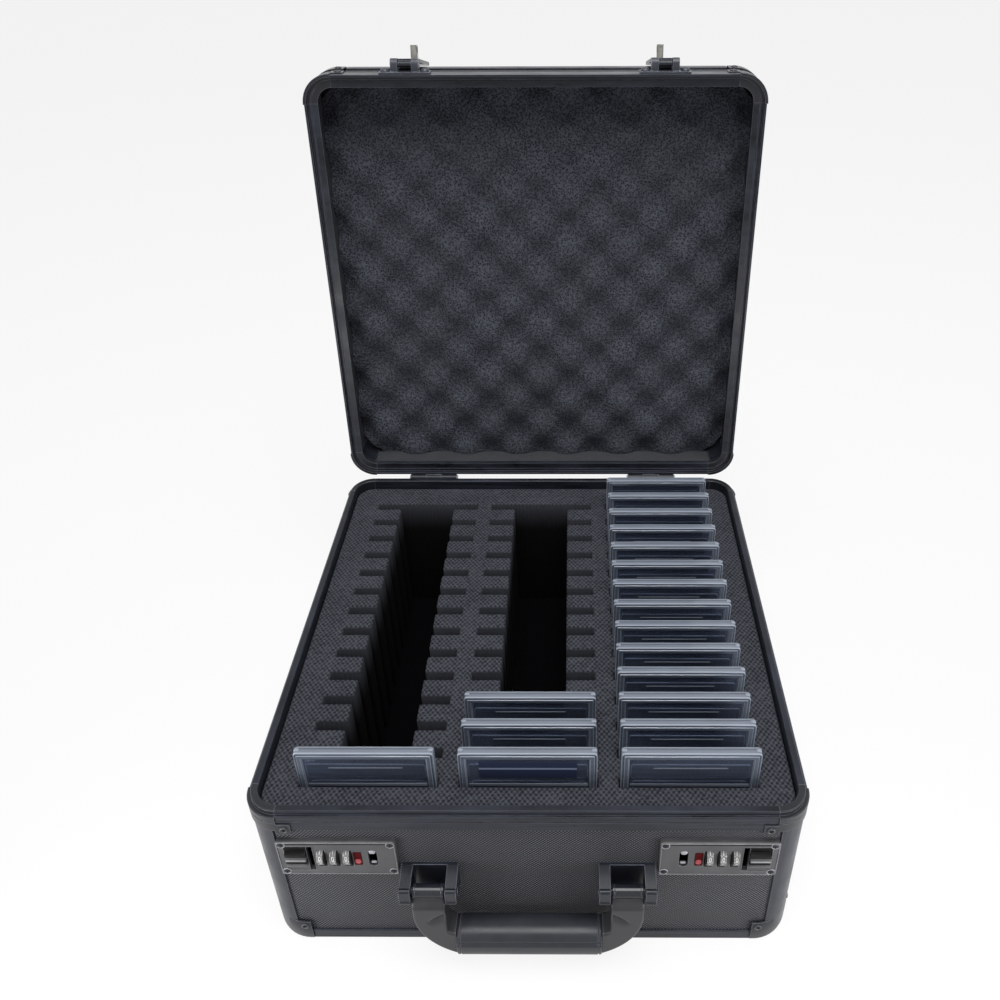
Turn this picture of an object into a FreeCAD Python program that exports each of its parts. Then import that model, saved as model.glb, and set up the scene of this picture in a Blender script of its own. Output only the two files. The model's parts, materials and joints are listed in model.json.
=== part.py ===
import FreeCAD, Part
import math
import os
import re
import Sketcher

# Trading card display case: a square aluminium-edged case with a foam tray for graded-card
# holders, a padded lid on two hinges, a carrying handle and two dial locks with hasps.
# Millimetres, +Z up. The origin is the middle of the case on the surface it stands on.
# -Y is the front, where the handle and the locks are, and +X is the right hand side.

SIZES = {
    # The closed case
    "case_depth": 330.0,
    "lid_height": 42.0,
    "corner_radius": 20.0,
    "split_gap": 0.2,
    "fit_gap": 0.1,
    "bore_gap": 0.05,
    "cut_over": 1.0,
    "edge_break": 0.5,
    # Wall panels and the posts that hold their ends
    "panel_thick": 3.0,
    "panel_recess": 1.5,
    "panel_bite": 2.0,
    "panel_engage": 5.5,
    "post_leg": 16.7,
    "post_depth": 6.0,
    # Rails along the closed edges of each half, and the ball caps at their corners
    "rail_height": 8.3,
    "rail_leg": 20.0,
    "rail_wall": 1.5,
    "cap_wall": 1.0,
    "cap_leg": 25.0,
    "cap_height": 19.0,
    "cap_round": 8.0,
    # Rims where the two halves meet: a tongue on the base, a lip and a ledge on the lid
    "rim_height": 12.0,
    "flange_width": 1.7,
    "tongue_width": 4.5,
    "tongue_height": 3.3,
    "tongue_gap": 0.3,
    "ledge_width": 9.0,
    "ledge_thick": 1.5,
    "groove_width": 0.8,
    "groove_depth": 0.5,
    "groove_drop": 4.0,
    "corner_proud": 0.8,
    "tab_length": 8.0,
    "tab_height": 9.0,
    "tab_drop": 3.4,
    "rivet_radius": 2.0,
    "rivet_rise": 0.9,
    # Foam tray with three columns of slots over an open trough
    "tray_drop": 4.0,
    "tray_gap": 0.3,
    "pad_thick": 9.5,
    "side_wall": 20.75,
    "column_wall": 12.5,
    "slot_play": 1.5,
    "slot_grip": 0.5,
    "slot_front": 24.0,
    "slot_back": 28.6,
    "trough_width": 44.0,
    # Graded-card holders
    "holder_width": 82.0,
    "holder_thick": 6.5,
    "holder_height": 136.0,
    "holder_border": 4.5,
    "holder_recess": 1.0,
    "holder_rail": 1.2,
    "holder_round": 1.6,
    # Convoluted foam in the lid, which closes down to just above the holders
    "foam_clear": 2.4,
    "foam_back": 4.0,
    "foam_wave": 7.0,
    "foam_pitch": 22.4,
    "foam_gap": 0.4,
    # Dial locks in the front panel, beside the posts
    "lock_height": 31.5,
    "lock_gap": 0.2,
    "lock_drop": 21.5,
    "lock_proud": 1.5,
    "lock_edge": 0.8,
    "lock_corner": 2.0,
    "lock_inset": 1.8,
    "lock_case_depth": 11.2,
    "lock_case_wall": 1.2,
    "lock_pocket": 1.0,
    "screw_inset": 3.0,
    "screw_radius": 1.6,
    "screw_rise": 0.5,
    "mouth_inset": 14.2,
    "mouth_width": 5.4,
    "mouth_tall": 15.4,
    "marker_inset": 23.2,
    "marker_width": 4.8,
    "marker_tall": 12.0,
    "marker_proud": 0.4,
    "dial_inset": 36.85,
    "dial_pitch": 7.85,
    "dial_width": 5.0,
    "dial_radius": 7.5,
    "dial_proud": 3.0,
    "dial_collar": 1.2,
    "dial_window": 15.6,
    "dial_release_gap": 2.0,
    "axle_radius": 1.5,
    "rib_width": 1.2,
    "rib_gap": 0.4,
    "release_inset": 12.6,
    "release_width": 16.8,
    "release_tall": 23.0,
    "release_travel": 3.5,
    "release_ridge": 12.0,
    "release_ridge_tall": 11.0,
    "release_ridge_proud": 2.2,
    "catch_thick": 3.0,
    "catch_back": 4.0,
    "arm_stem": 2.0,
    "bolt_length": 4.2,
    "bolt_reach": 1.2,
    "bolt_tall": 2.8,
    # Handle and its two brackets, which stand beside the locks
    "bracket_gap": 1.9,
    "bracket_width": 34.0,
    "bracket_window": 20.4,
    "bracket_base": 59.0,
    "bracket_height": 22.0,
    "bracket_plate": 2.0,
    "ear_height": 11.0,
    "ear_nose": 5.4,
    "pivot_out": 12.0,
    "pivot_rise": 14.0,
    "pivot_radius": 2.0,
    "barrel_radius": 4.0,
    "arm_width": 19.8,
    "arm_thick": 15.0,
    "arm_bend": 44.0,
    "arm_straight": 16.0,
    "arm_shoulder": 9.0,
    "grip_fillet": 4.6,
    "grip_thick": 20.0,
    "grip_height": 24.0,
    "grip_bottom": 15.0,
    "grip_round": 8.0,
    "core_thick": 10.0,
    "core_height": 12.0,
    # Hinges on the back
    "hinge_place": 95.0,
    "hinge_width": 40.0,
    "hinge_out": 3.5,
    "knuckle_radius": 3.2,
    "knuckle_gap": 0.3,
    "pin_radius": 1.4,
    "leaf_thick": 1.5,
    "leaf_height": 18.0,
    "leaf_rise": 4.0,
    "lid_open_angle": 93.5,
    # Hasps that hook from the lid into the locks
    "hasp_plate_width": 36.0,
    "hasp_plate_drop": 1.3,
    "hasp_plate_height": 10.0,
    "hasp_plate_thick": 1.5,
    "hasp_width": 19.8,
    "hasp_neck": 9.2,
    "hasp_neck_gap": 0.3,
    "hasp_pivot_out": 6.0,
    "hasp_pivot_rise": 8.4,
    "hasp_pin_radius": 1.1,
    "hasp_barrel": 2.2,
    "hasp_cheek_radius": 4.0,
    "hasp_shoulder": 5.0,
    "hasp_thick": 2.5,
    "hasp_clear": 0.8,
    "hasp_tail": 10.5,
    "hasp_corner": 5.0,
    "hasp_fold_angle": 190.0,
    "staple_width": 4.5,
    "staple_tall": 7.0,
    "staple_length": 11.5,
    "staple_eye": 4.0,
    "staple_nose": 1.3,
}
SLOTS = 14
COLUMNS = 3
DIALS = 3
LEFT_COUNT = 1
MIDDLE_COUNT = 3
SAME = 1e-6
ADD = "PartDesign::AdditiveBox"
TAKE = "PartDesign::SubtractiveBox"
DRILL = "PartDesign::SubtractiveCylinder"

os.makedirs("parts", exist_ok=True)
doc = FreeCAD.newDocument("display_case")
sheet = doc.addObject("Spreadsheet::Sheet", "sizes")
for row, (alias, value) in enumerate(SIZES.items(), start=1):
    sheet.set("A%d" % row, alias)
    sheet.set("B%d" % row, str(value))
    sheet.setAlias("B%d" % row, alias)
doc.recompute()

# Places that several pieces share, as expressions of the sheet's cells. The width is what the
# columns of holders need with the foam between and beside them, and the closed height is the
# floor, the pad, a holder, and the lid's foam and top over it.
HALF_Y = "(case_depth / 2)"
FLOOR_TOP = "(panel_thick + rail_wall)"
TRAY_BASE = "(%s + pad_thick)" % FLOOR_TOP
FOAM_TOP = "(%s + holder_height + foam_clear + foam_wave + foam_back)" % TRAY_BASE
CASE_TOP = "(%s + fit_gap + %s)" % (FOAM_TOP, FLOOR_TOP)
RIM_TOP = "(%s - lid_height)" % CASE_TOP
SPLIT = "(%s + split_gap)" % RIM_TOP
PANEL_IN = "(panel_recess + panel_thick)"
RIM_IN = "(flange_width + tongue_width)"
TRAY_IN = "(flange_width + tongue_width + tray_gap)"
TRAY_TOP = "(%s - tray_drop)" % RIM_TOP
SLOT_WIDTH = "(holder_width + slot_play)"
SLOT_GAP = "(holder_thick + slot_grip)"
COLUMN_PITCH = "(%s + column_wall)" % SLOT_WIDTH
COLUMNS_WIDE = "(%s + %s * %d)" % (SLOT_WIDTH, COLUMN_PITCH, COLUMNS - 1)
HALF_X = "(%s / 2 + side_wall + %s)" % (COLUMNS_WIDE, TRAY_IN)
SLOT_PITCH = "((case_depth - slot_front - slot_back - %s) / %d)" % (SLOT_GAP, SLOTS - 1)
SLOT_0 = "(slot_front - %s)" % HALF_Y
PANEL_FACE = "(panel_recess - %s)" % HALF_Y
LOCK_WIDTH = ("(dial_inset + dial_pitch + dial_width / 2 + dial_release_gap"
              " + release_width / 2 + release_inset)")
LOCK_RIGHT = "(%s - post_leg - lock_gap)" % HALF_X
LOCK_LEFT = "(%s - %s)" % (LOCK_RIGHT, LOCK_WIDTH)
LOCK_LOW = "(%s - lock_drop - lock_height)" % RIM_TOP
LOCK_MID = "(%s + lock_height / 2)" % LOCK_LOW
LOCK_FACE = "(0 - %s - lock_proud)" % HALF_Y
MOUTH_X = "(%s + mouth_inset)" % LOCK_LEFT
MARKER_X = "(%s + marker_inset)" % LOCK_LEFT
DIAL_X = "(%s + dial_inset)" % LOCK_LEFT
DIAL_Y = "(%s + dial_radius - dial_proud)" % LOCK_FACE
RELEASE_X = "(%s - release_inset)" % LOCK_RIGHT
CASE_LOW = "(%s + lock_inset)" % LOCK_LOW
CASE_TALL = "(lock_height - 2 * lock_inset)"
BRACKET_LEFT = "(%s - bracket_gap - bracket_width)" % LOCK_LEFT
HANDLE_X = "(%s + bracket_width / 2)" % BRACKET_LEFT
PIVOT_Y = "(0 - %s - pivot_out)" % HALF_Y
PIVOT_Z = "(bracket_base + pivot_rise)"
GRIP_END = "(%s - arm_width / 2 - grip_fillet)" % HANDLE_X
HINGE_Y = "(%s + hinge_out)" % HALF_Y
HINGE_Z = "(%s + split_gap / 2)" % RIM_TOP
HASP_Y = "(0 - %s - hasp_pivot_out)" % HALF_Y
HASP_Z = "(%s + hasp_pivot_rise)" % SPLIT
HASP_IN = "(%s - hasp_clear)" % LOCK_FACE
OPEN_TURN = "(0 - lid_open_angle)"
FOLD_TURN = "(0 - hasp_fold_angle)"


def cells(text):
    """Put the sheet's name before each alias in an expression."""

    def named(word):
        return "sizes." + word.group(0) if word.group(0) in SIZES else word.group(0)

    return re.sub(r"[a-z][a-z_]*[a-z]", named, text)


def drive(item, **sizes):
    """Bind properties of an object to expressions."""
    for prop, text in sizes.items():
        item.setExpression(prop, cells(text))
    return item


def place(item, corner):
    """Bind an object's position to three expressions."""
    for axis, text in zip("xyz", corner):
        item.setExpression("Placement.Base." + axis, cells(text))
    return item


def turn(item, angle, pivot_y, pivot_z):
    """Turn an object by an angle about an axis along X through a point given as expressions."""
    y, z, a = cells(pivot_y), cells(pivot_z), cells(angle)
    base = "vector(0; %s - (%s * cos(%s) - %s * sin(%s)); %s - (%s * sin(%s) + %s * cos(%s)))" % (
        y, y, a + " * 1 deg", z, a + " * 1 deg", z, y, a + " * 1 deg", z, a + " * 1 deg")
    item.setExpression("Placement", "placement(%s; rotation(vector(1; 0; 0); %s))" % (base, a))
    return item


def box(corner, size, kind="Part::Box", body=None):
    """A box from its lowest corner and its three sizes, on its own or as a feature of a body."""
    item = body.newObject(kind, "block") if body else doc.addObject(kind, "block")
    drive(item, Length=size[0], Width=size[1], Height=size[2])
    return place(item, corner)


def rod(centre, radius, length, axis="X", body=None, kind="Part::Cylinder"):
    """A cylinder that starts at a point and runs along an axis."""
    item = body.newObject(kind, "rod") if body else doc.addObject(kind, "rod")
    item.Placement = FreeCAD.Placement(FreeCAD.Vector(), TURNS[axis])
    drive(item, Radius=radius, Height=length)
    return place(item, centre)


TURNS = {
    "X": FreeCAD.Rotation(FreeCAD.Vector(0, 1, 0), 90),
    "Y": FreeCAD.Rotation(FreeCAD.Vector(1, 0, 0), -90),
    "-X": FreeCAD.Rotation(FreeCAD.Vector(0, 1, 0), -90),
    "-Y": FreeCAD.Rotation(FreeCAD.Vector(1, 0, 0), 90),
    "Z": FreeCAD.Rotation(),
}


def cut(base, tool):
    item = doc.addObject("Part::Cut", "cut")
    item.Base = base
    item.Tool = tool
    return item


def fuse(items):
    item = doc.addObject("Part::MultiFuse", "fuse")
    item.Shapes = items
    return item


def common(items):
    item = doc.addObject("Part::MultiCommon", "common")
    item.Shapes = items
    return item


def group(items):
    item = doc.addObject("Part::Compound", "group")
    item.Links = items
    return item


def mirror(item, normal):
    copy = doc.addObject("Part::Mirroring", "mirror")
    copy.Source = item
    copy.Normal = FreeCAD.Vector(*normal)
    return copy


def both_sides(item):
    """The piece and its mirror image on the other side of the case."""
    return [item, mirror(item, (1, 0, 0))]


def four_corners(item):
    """The piece at all four corners of the case."""
    return both_sides(item) + both_sides(mirror(item, (0, 1, 0)))


def new_body():
    return doc.addObject("PartDesign::Body", "piece")


def origin(body, role):
    return [f for f in body.Origin.OriginFeatures if f.Role == role][0]


def value(text):
    """The number that an expression has now."""
    probe = doc.addObject("App::FeaturePython", "probe")
    probe.addProperty("App::PropertyFloat", "Result")
    probe.setExpression("Result", cells(text))
    probe.recompute()
    result = probe.Result
    doc.removeObject(probe.Name)
    return result


def outline(body, role, points):
    """A sketch on one of the body's origin planes: a closed outline through points given as expressions."""
    sketch = body.newObject("Sketcher::SketchObject", "outline")
    sketch.AttachmentSupport = [(origin(body, role), "")]
    sketch.MapMode = "FlatFace"
    spots = [FreeCAD.Vector(value(x), value(y), 0) for x, y in points]
    count = len(points)
    for i in range(count):
        sketch.addGeometry(Part.LineSegment(spots[i], spots[(i + 1) % count]), False)
    for i in range(count):
        sketch.addConstraint(Sketcher.Constraint("Coincident", i, 2, (i + 1) % count, 1))
    for i, (x, y) in enumerate(points):
        across = sketch.addConstraint(Sketcher.Constraint("DistanceX", -1, 1, i, 1, spots[i].x))
        sketch.setExpression("Constraints[%d]" % across, cells(x))
        up = sketch.addConstraint(Sketcher.Constraint("DistanceY", -1, 1, i, 1, spots[i].y))
        sketch.setExpression("Constraints[%d]" % up, cells(y))
    return sketch


def pad(role, points, length):
    """A body that is an outline on a middle plane, padded by the same length to both sides."""
    body = new_body()
    feature = body.newObject("PartDesign::Pad", "pad")
    feature.Profile = outline(body, role, points)
    feature.Midplane = True
    drive(feature, Length=length)
    return body


def sweep_corner(points):
    """A body whose outline, on the XZ plane, turns a quarter about Z from -X to -Y."""
    body = new_body()
    feature = body.newObject("PartDesign::Revolution", "quarter")
    sketch = outline(body, "XZ_Plane", points)
    feature.Profile = sketch
    feature.ReferenceAxis = (sketch, ["V_Axis"])
    feature.Angle = 90
    return body


def edges_where(shape, test):
    """Names of the straight edges of a shape for which a test of their two ends holds."""
    names = []
    for number, edge in enumerate(shape.Edges, start=1):
        ends = [v.Point for v in edge.Vertexes]
        if len(ends) == 2 and edge.Curve.TypeId == "Part::GeomLine" and test(*ends):
            names.append("Edge%d" % number)
    return names


def round_edges(body, test, radius):
    """A fillet on the edges of the body's tip that a test picks."""
    doc.recompute()
    tip = body.Tip
    feature = body.newObject("PartDesign::Fillet", "round")
    feature.Base = (tip, edges_where(tip.Shape, test))
    drive(feature, Radius=radius)
    return body


def near(a, b):
    return abs(a - b) < SAME


def along(axis):
    """A test that an edge runs along one axis."""
    others = [n for n in range(3) if n != axis]
    return lambda a, b: all(near(a[n], b[n]) for n in others)


NODES = []


def node(label, items):
    """Name a finished sub-part: its Label is the name of its file."""
    whole = group(items)
    whole.Label = label
    NODES.append(whole)
    return whole


def lid_node(label, items):
    """A sub-part drawn on the closed lid and then swung open about the hinges."""
    return turn(node(label, items), OPEN_TURN, HINGE_Y, HINGE_Z)


class Half:
    """One half of the case. Heights in it are counted from its closed end towards the rim."""

    def __init__(self, lid):
        self.lid = lid
        self.tall = "(lid_height - split_gap)" if lid else RIM_TOP

    def up(self, height):
        """The Z of a height counted from the closed end."""
        return "(%s - (%s))" % (CASE_TOP, height) if self.lid else "(%s)" % height

    def low(self, height, size):
        """The lowest Z of something that starts at a height and has a size."""
        return "(%s - (%s) - (%s))" % (CASE_TOP, height, size) if self.lid else "(%s)" % height

    def box(self, x, y, height, size):
        return box((x, y, self.low(height, size[2])), size)


def rim_points(half, edge, proud="0"):
    """The outline of a rim: inboard distance against Z, its outer face at the given edge."""
    low = "(%s - rim_height)" % half.tall
    top = half.tall
    slot_in = "(%s + fit_gap)" % PANEL_IN
    slot_out = "(panel_recess - fit_gap)"
    slot_end = "(%s + panel_engage + fit_gap)" % low
    skirt = "(%s - groove_drop)" % top
    face = [
        ("(0 - %s)" % proud, low),
        ("(0 - %s)" % proud, "(%s - groove_width)" % skirt),
        ("(groove_depth - %s)" % proud, "(%s - groove_width)" % skirt),
        ("(groove_depth - %s)" % proud, skirt),
        ("(0 - %s)" % proud, skirt),
    ]
    slot = [(slot_in, low), (slot_in, slot_end), (slot_out, slot_end), (slot_out, low)]
    if half.lid:
        ledge = "(%s - tongue_height - tongue_gap)" % top
        lip = "(flange_width - tongue_gap + fit_gap)"
        middle = "(ledge_width / 2)"
        head = [
            ("(0 - %s)" % proud, top),
            (lip, top),
            (lip, ledge),
            ("(%s - groove_width)" % middle, ledge),
            ("(%s - groove_width)" % middle, "(%s - groove_depth)" % ledge),
            (middle, "(%s - groove_depth)" % ledge),
            (middle, ledge),
            ("ledge_width", ledge),
            ("ledge_width", "(%s - ledge_thick)" % ledge),
            (RIM_IN, "(%s - ledge_thick)" % ledge),
            (RIM_IN, low),
        ]
    else:
        crown = "(%s + tongue_height)" % top
        head = [
            ("(0 - %s)" % proud, "(%s - edge_break)" % top),
            ("(edge_break - %s)" % proud, top),
            ("flange_width", top),
            ("flange_width", "(%s - edge_break)" % crown),
            ("(flange_width + edge_break)", crown),
            ("(%s - edge_break)" % RIM_IN, crown),
            (RIM_IN, "(%s - edge_break)" % crown),
            (RIM_IN, low),
        ]
    points = face + head + (slot if proud == "0" else [])
    return [("(%s + %s)" % (edge, u), half.up(v)) for u, v in points]


def rim_rails(half):
    """Four straight lengths of rim between the corner castings."""
    front = pad("YZ_Plane", rim_points(half, "(0 - %s)" % HALF_Y), "2 * %s - 2 * corner_radius" % HALF_X)
    side = pad("XZ_Plane", rim_points(half, "(0 - %s)" % HALF_X), "case_depth - 2 * corner_radius")
    return [front, mirror(front, (0, 1, 0))] + both_sides(side)


def rim_corners(half):
    """Four corner castings that carry the rim round, with riveted tabs along both walls."""
    turn_points = rim_points(half, "(0 - corner_radius)", "corner_proud")
    centre = ("corner_radius - %s" % HALF_X, "corner_radius - %s" % HALF_Y, "0")
    quarter = place(sweep_corner(turn_points), centre)
    height = "(%s - rim_height - tab_drop)" % half.tall
    front_tab = half.box("corner_radius - %s - cut_over" % HALF_X, "0 - %s - corner_proud" % HALF_Y, height,
                         ("tab_length + cut_over", "corner_proud", "tab_height"))
    side_tab = half.box("0 - %s - corner_proud" % HALF_X, "corner_radius - %s - cut_over" % HALF_Y, height,
                        ("corner_proud", "tab_length + cut_over", "tab_height"))
    return four_corners(fuse([quarter, front_tab, side_tab]))


def dome(x, y, z, way):
    """The round head of a rivet, seated on a face that looks along an axis."""
    item = doc.addObject("Part::Sphere", "dome")
    item.Placement = FreeCAD.Placement(FreeCAD.Vector(), TURNS[way])
    drive(item, Radius="(rivet_radius * rivet_radius + rivet_rise * rivet_rise) / (2 * rivet_rise)",
          Angle1="90 - 2 * atan(rivet_rise / rivet_radius) / 1 deg")
    sink = "((rivet_radius * rivet_radius - rivet_rise * rivet_rise) / (2 * rivet_rise))"
    shift = {"-X": (" + " + sink, ""), "-Y": ("", " + " + sink)}[way]
    return place(item, (x + shift[0], y + shift[1], z))


def rivets(half):
    """Rivet heads on the tabs of the rim castings and on the corner caps."""
    tab_z = half.up("(%s - rim_height - tab_drop + tab_height / 2)" % half.tall)
    cap_z = half.up("(cap_height - rivet_radius * 2)")
    inset = "(corner_radius + tab_length / 2)"
    cap_inset = "(cap_leg - rivet_radius * 2)"
    heads = [
        dome("%s - %s" % (inset, HALF_X), "(0 - %s - corner_proud)" % HALF_Y, tab_z, "-Y"),
        dome("(0 - %s - corner_proud)" % HALF_X, "%s - %s" % (inset, HALF_Y), tab_z, "-X"),
        dome("%s - %s" % (cap_inset, HALF_X), "(0 - %s - fit_gap - cap_wall)" % HALF_Y, cap_z, "-Y"),
        dome("(0 - %s - fit_gap - cap_wall)" % HALF_X, "%s - %s" % (cap_inset, HALF_Y), cap_z, "-X"),
    ]
    return [copy for head in heads for copy in four_corners(head)]


def posts(half):
    """Four quarter-round corner posts, slotted for the ends of the wall panels."""
    foot = "cap_round"
    tall = "(%s - rim_height - cap_round)" % half.tall
    low = half.low(foot, tall)
    rings = []
    for radius in ("corner_radius", "(corner_radius - post_depth)"):
        ring = doc.addObject("Part::Cylinder", "quarter")
        ring.Placement = FreeCAD.Placement(FreeCAD.Vector(), FreeCAD.Rotation(FreeCAD.Vector(0, 0, 1), 180))
        ring.Angle = 90
        drive(ring, Radius=radius, Height=tall)
        rings.append(place(ring, ("corner_radius - %s" % HALF_X, "corner_radius - %s" % HALF_Y, low)))
    legs = box(("0 - %s - cut_over" % HALF_X, "0 - %s - cut_over" % HALF_Y, low),
               ("post_leg + cut_over", "post_leg + cut_over", tall))
    reach = "(panel_bite + fit_gap)"
    wide = "(panel_thick + 2 * fit_gap)"
    slots = [
        box(("post_leg - %s - %s" % (reach, HALF_X), "%s - fit_gap" % PANEL_FACE, low),
            (reach + " + cut_over", wide, tall)),
        box(("panel_recess - fit_gap - %s" % HALF_X, "post_leg - %s - %s" % (reach, HALF_Y), low),
            (wide, reach + " + cut_over", tall)),
    ]
    return four_corners(cut(common([cut(rings[0], rings[1]), legs]), group(slots)))


def wall(half, along_x):
    """The front or left wall panel: a sheet between the posts whose top edge stands in the rim."""
    span, other = (HALF_X, HALF_Y) if along_x else (HALF_Y, HALF_X)
    sheets = []
    rim_low = "(%s - rim_height)" % half.tall
    for inset, low, high in (
        ("(post_leg - panel_bite)", FLOOR_TOP, "(%s - fit_gap)" % rim_low),
        ("(corner_radius + fit_gap)", FLOOR_TOP, "(%s + panel_engage)" % rim_low),
    ):
        start = "%s - %s" % (inset, span)
        across = "2 * (%s - %s)" % (span, inset)
        tall = "(%s - %s)" % (high, low)
        face = "panel_recess - %s" % other
        if along_x:
            sheets.append(half.box(start, face, low, (across, "panel_thick", tall)))
        else:
            sheets.append(half.box(face, start, low, ("panel_thick", across, tall)))
    return fuse(sheets)


def end_panel(half):
    """The flat bottom or top: a sheet inside the rails, notched at the corners for the caps."""
    notch = "(cap_leg + fit_gap)"
    strips = [
        half.box("%s - %s" % (first, HALF_X), "%s - %s" % (second, HALF_Y), "0",
                 ("2 * (%s - %s)" % (HALF_X, first), "2 * (%s - %s)" % (HALF_Y, second), "panel_thick"))
        for first, second in (("panel_recess", notch), (notch, "panel_recess"))
    ]
    return fuse(strips)


def end_rails(half):
    """Four rails along the closed edges, between the corner caps: a web outside and a leg inside."""
    web = "(panel_recess - fit_gap)"
    points = [
        ("0", "edge_break"),
        ("0", "(rail_height - edge_break)"),
        ("edge_break", "rail_height"),
        (web, "rail_height"),
        (web, FLOOR_TOP),
        ("rail_leg", FLOOR_TOP),
        ("rail_leg", "panel_thick"),
        (web, "panel_thick"),
        (web, "0"),
        ("edge_break", "0"),
    ]
    trim = "2 * (cap_leg + fit_gap)"
    front_points = [("(%s - %s)" % (u, HALF_Y), half.up(v)) for u, v in points]
    side_points = [("(%s - %s)" % (u, HALF_X), half.up(v)) for u, v in points]
    front = pad("YZ_Plane", front_points, "2 * %s - %s" % (HALF_X, trim))
    side = pad("XZ_Plane", side_points, "case_depth - %s" % trim)
    return [front, mirror(front, (0, 1, 0))] + both_sides(side)


def ball(half, wall_out, start, radius, over):
    """A corner block with one upright edge and its closed-end edges rounded."""
    body = new_body()
    edge_x = "0 - %s - %s" % (HALF_X, wall_out)
    edge_y = "0 - %s - %s" % (HALF_Y, wall_out)
    side = "(cap_leg + %s + %s)" % (wall_out, over)
    size = (side, side, "(cap_height - %s + %s)" % (start, over))
    box((edge_x, edge_y, half.low(start, size[2])), size, ADD, body)
    doc.recompute()
    x, y, z, reach = value(edge_x), value(edge_y), value(half.up(start)), value(side)
    round_edges(body, lambda a, b: all(near(p.x, x) and near(p.y, y) for p in (a, b)),
                "corner_radius + %s" % wall_out)
    doc.recompute()
    tip = body.Tip
    names = []
    for number, edge in enumerate(tip.Shape.Edges, start=1):
        spot = edge.BoundBox
        closed_end = near(spot.ZMin, z) and near(spot.ZMax, z)
        if closed_end and not near(spot.XMin, x + reach) and not near(spot.YMin, y + reach):
            names.append("Edge%d" % number)
    feature = body.newObject("PartDesign::Fillet", "round")
    feature.Base = (tip, names)
    drive(feature, Radius=radius)
    return body


def corner_caps(half):
    """Four ball-corner caps, each a thin shell over the end of a post and two rails."""
    outer = ball(half, "(cap_wall + fit_gap)", "0", "cap_round", "0")
    inner = ball(half, "fit_gap", "cap_wall", "(cap_round - cap_wall)", "cut_over")
    return four_corners(cut(outer, inner))


base = Half(False)
lid = Half(True)

# Base: the lower half of the case
node("base_rim_rails", rim_rails(base))
node("base_rim_corners", rim_corners(base))
node("base_posts", posts(base))
node("base_bottom_rails", end_rails(base))
node("base_corner_caps", corner_caps(base))
node("base_rivets", rivets(base))
node("base_floor_panel", [end_panel(base)])

lock_hole = box(("%s + lock_inset - fit_gap" % LOCK_LEFT, "%s - cut_over" % PANEL_FACE,
                 "%s - fit_gap" % CASE_LOW),
                ("%s - 2 * lock_inset + 2 * fit_gap" % LOCK_WIDTH, "panel_thick + 2 * cut_over",
                 "%s + 2 * fit_gap" % CASE_TALL))
node("base_front_panel", [cut(wall(base, True), group(both_sides(lock_hole)))])
side_wall = wall(base, False)
node("base_wall_panels", [mirror(wall(base, True), (0, 1, 0))] + both_sides(side_wall))


def lock_pocket():
    """The space in the foam behind a lock case."""
    back = "(%s + lock_case_depth + lock_pocket)" % PANEL_FACE
    front = "(%s - %s)" % (TRAY_IN, HALF_Y)
    return ((LOCK_LEFT, "%s - cut_over" % front, LOCK_LOW),
            (LOCK_WIDTH, "%s - %s + cut_over" % (back, front), "lock_height"))


def card_tray():
    """A foam block with rounded corners, cut through by three troughs and their slots."""
    body = new_body()
    side_x = "2 * (%s - %s)" % (HALF_X, TRAY_IN)
    side_y = "2 * (%s - %s)" % (HALF_Y, TRAY_IN)
    box(("%s - %s" % (TRAY_IN, HALF_X), "%s - %s" % (TRAY_IN, HALF_Y), TRAY_BASE),
        (side_x, side_y, "%s - %s" % (TRAY_TOP, TRAY_BASE)), ADD, body)
    round_edges(body, along(2), "corner_radius - %s" % TRAY_IN)
    low = "%s - cut_over" % TRAY_BASE
    deep = "%s - %s + 2 * cut_over" % (TRAY_TOP, TRAY_BASE)
    for column in range(COLUMNS):
        middle = "(%s * (%d))" % (COLUMN_PITCH, column - 1)
        box(("%s - trough_width / 2" % middle, SLOT_0, low),
            ("trough_width", "case_depth - slot_front - slot_back", deep), TAKE, body)
        slot = box(("%s - %s / 2" % (middle, SLOT_WIDTH), SLOT_0, low), (SLOT_WIDTH, SLOT_GAP, deep),
                   TAKE, body)
        doc.recompute()
        row = body.newObject("PartDesign::LinearPattern", "row")
        row.Originals = [slot]
        row.Direction = (origin(body, "Y_Axis"), [""])
        drive(row, Length="%s * %d" % (SLOT_PITCH, SLOTS - 1))
        row.Occurrences = SLOTS
        body.Tip = row
    corner, size = lock_pocket()
    box(corner, size, TAKE, body)
    body.Tip = box(("0 - %s" % LOCK_RIGHT,) + corner[1:], size, TAKE, body)
    return body


node("card_tray", [card_tray()])

pad_body = new_body()
box(("%s - %s" % (TRAY_IN, HALF_X), "%s - %s" % (TRAY_IN, HALF_Y), FLOOR_TOP),
    ("2 * (%s - %s)" % (HALF_X, TRAY_IN), "2 * (%s - %s)" % (HALF_Y, TRAY_IN), "pad_thick"),
    ADD, pad_body)
round_edges(pad_body, along(2), "corner_radius - %s" % TRAY_IN)
node("tray_pad", [pad_body])


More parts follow.
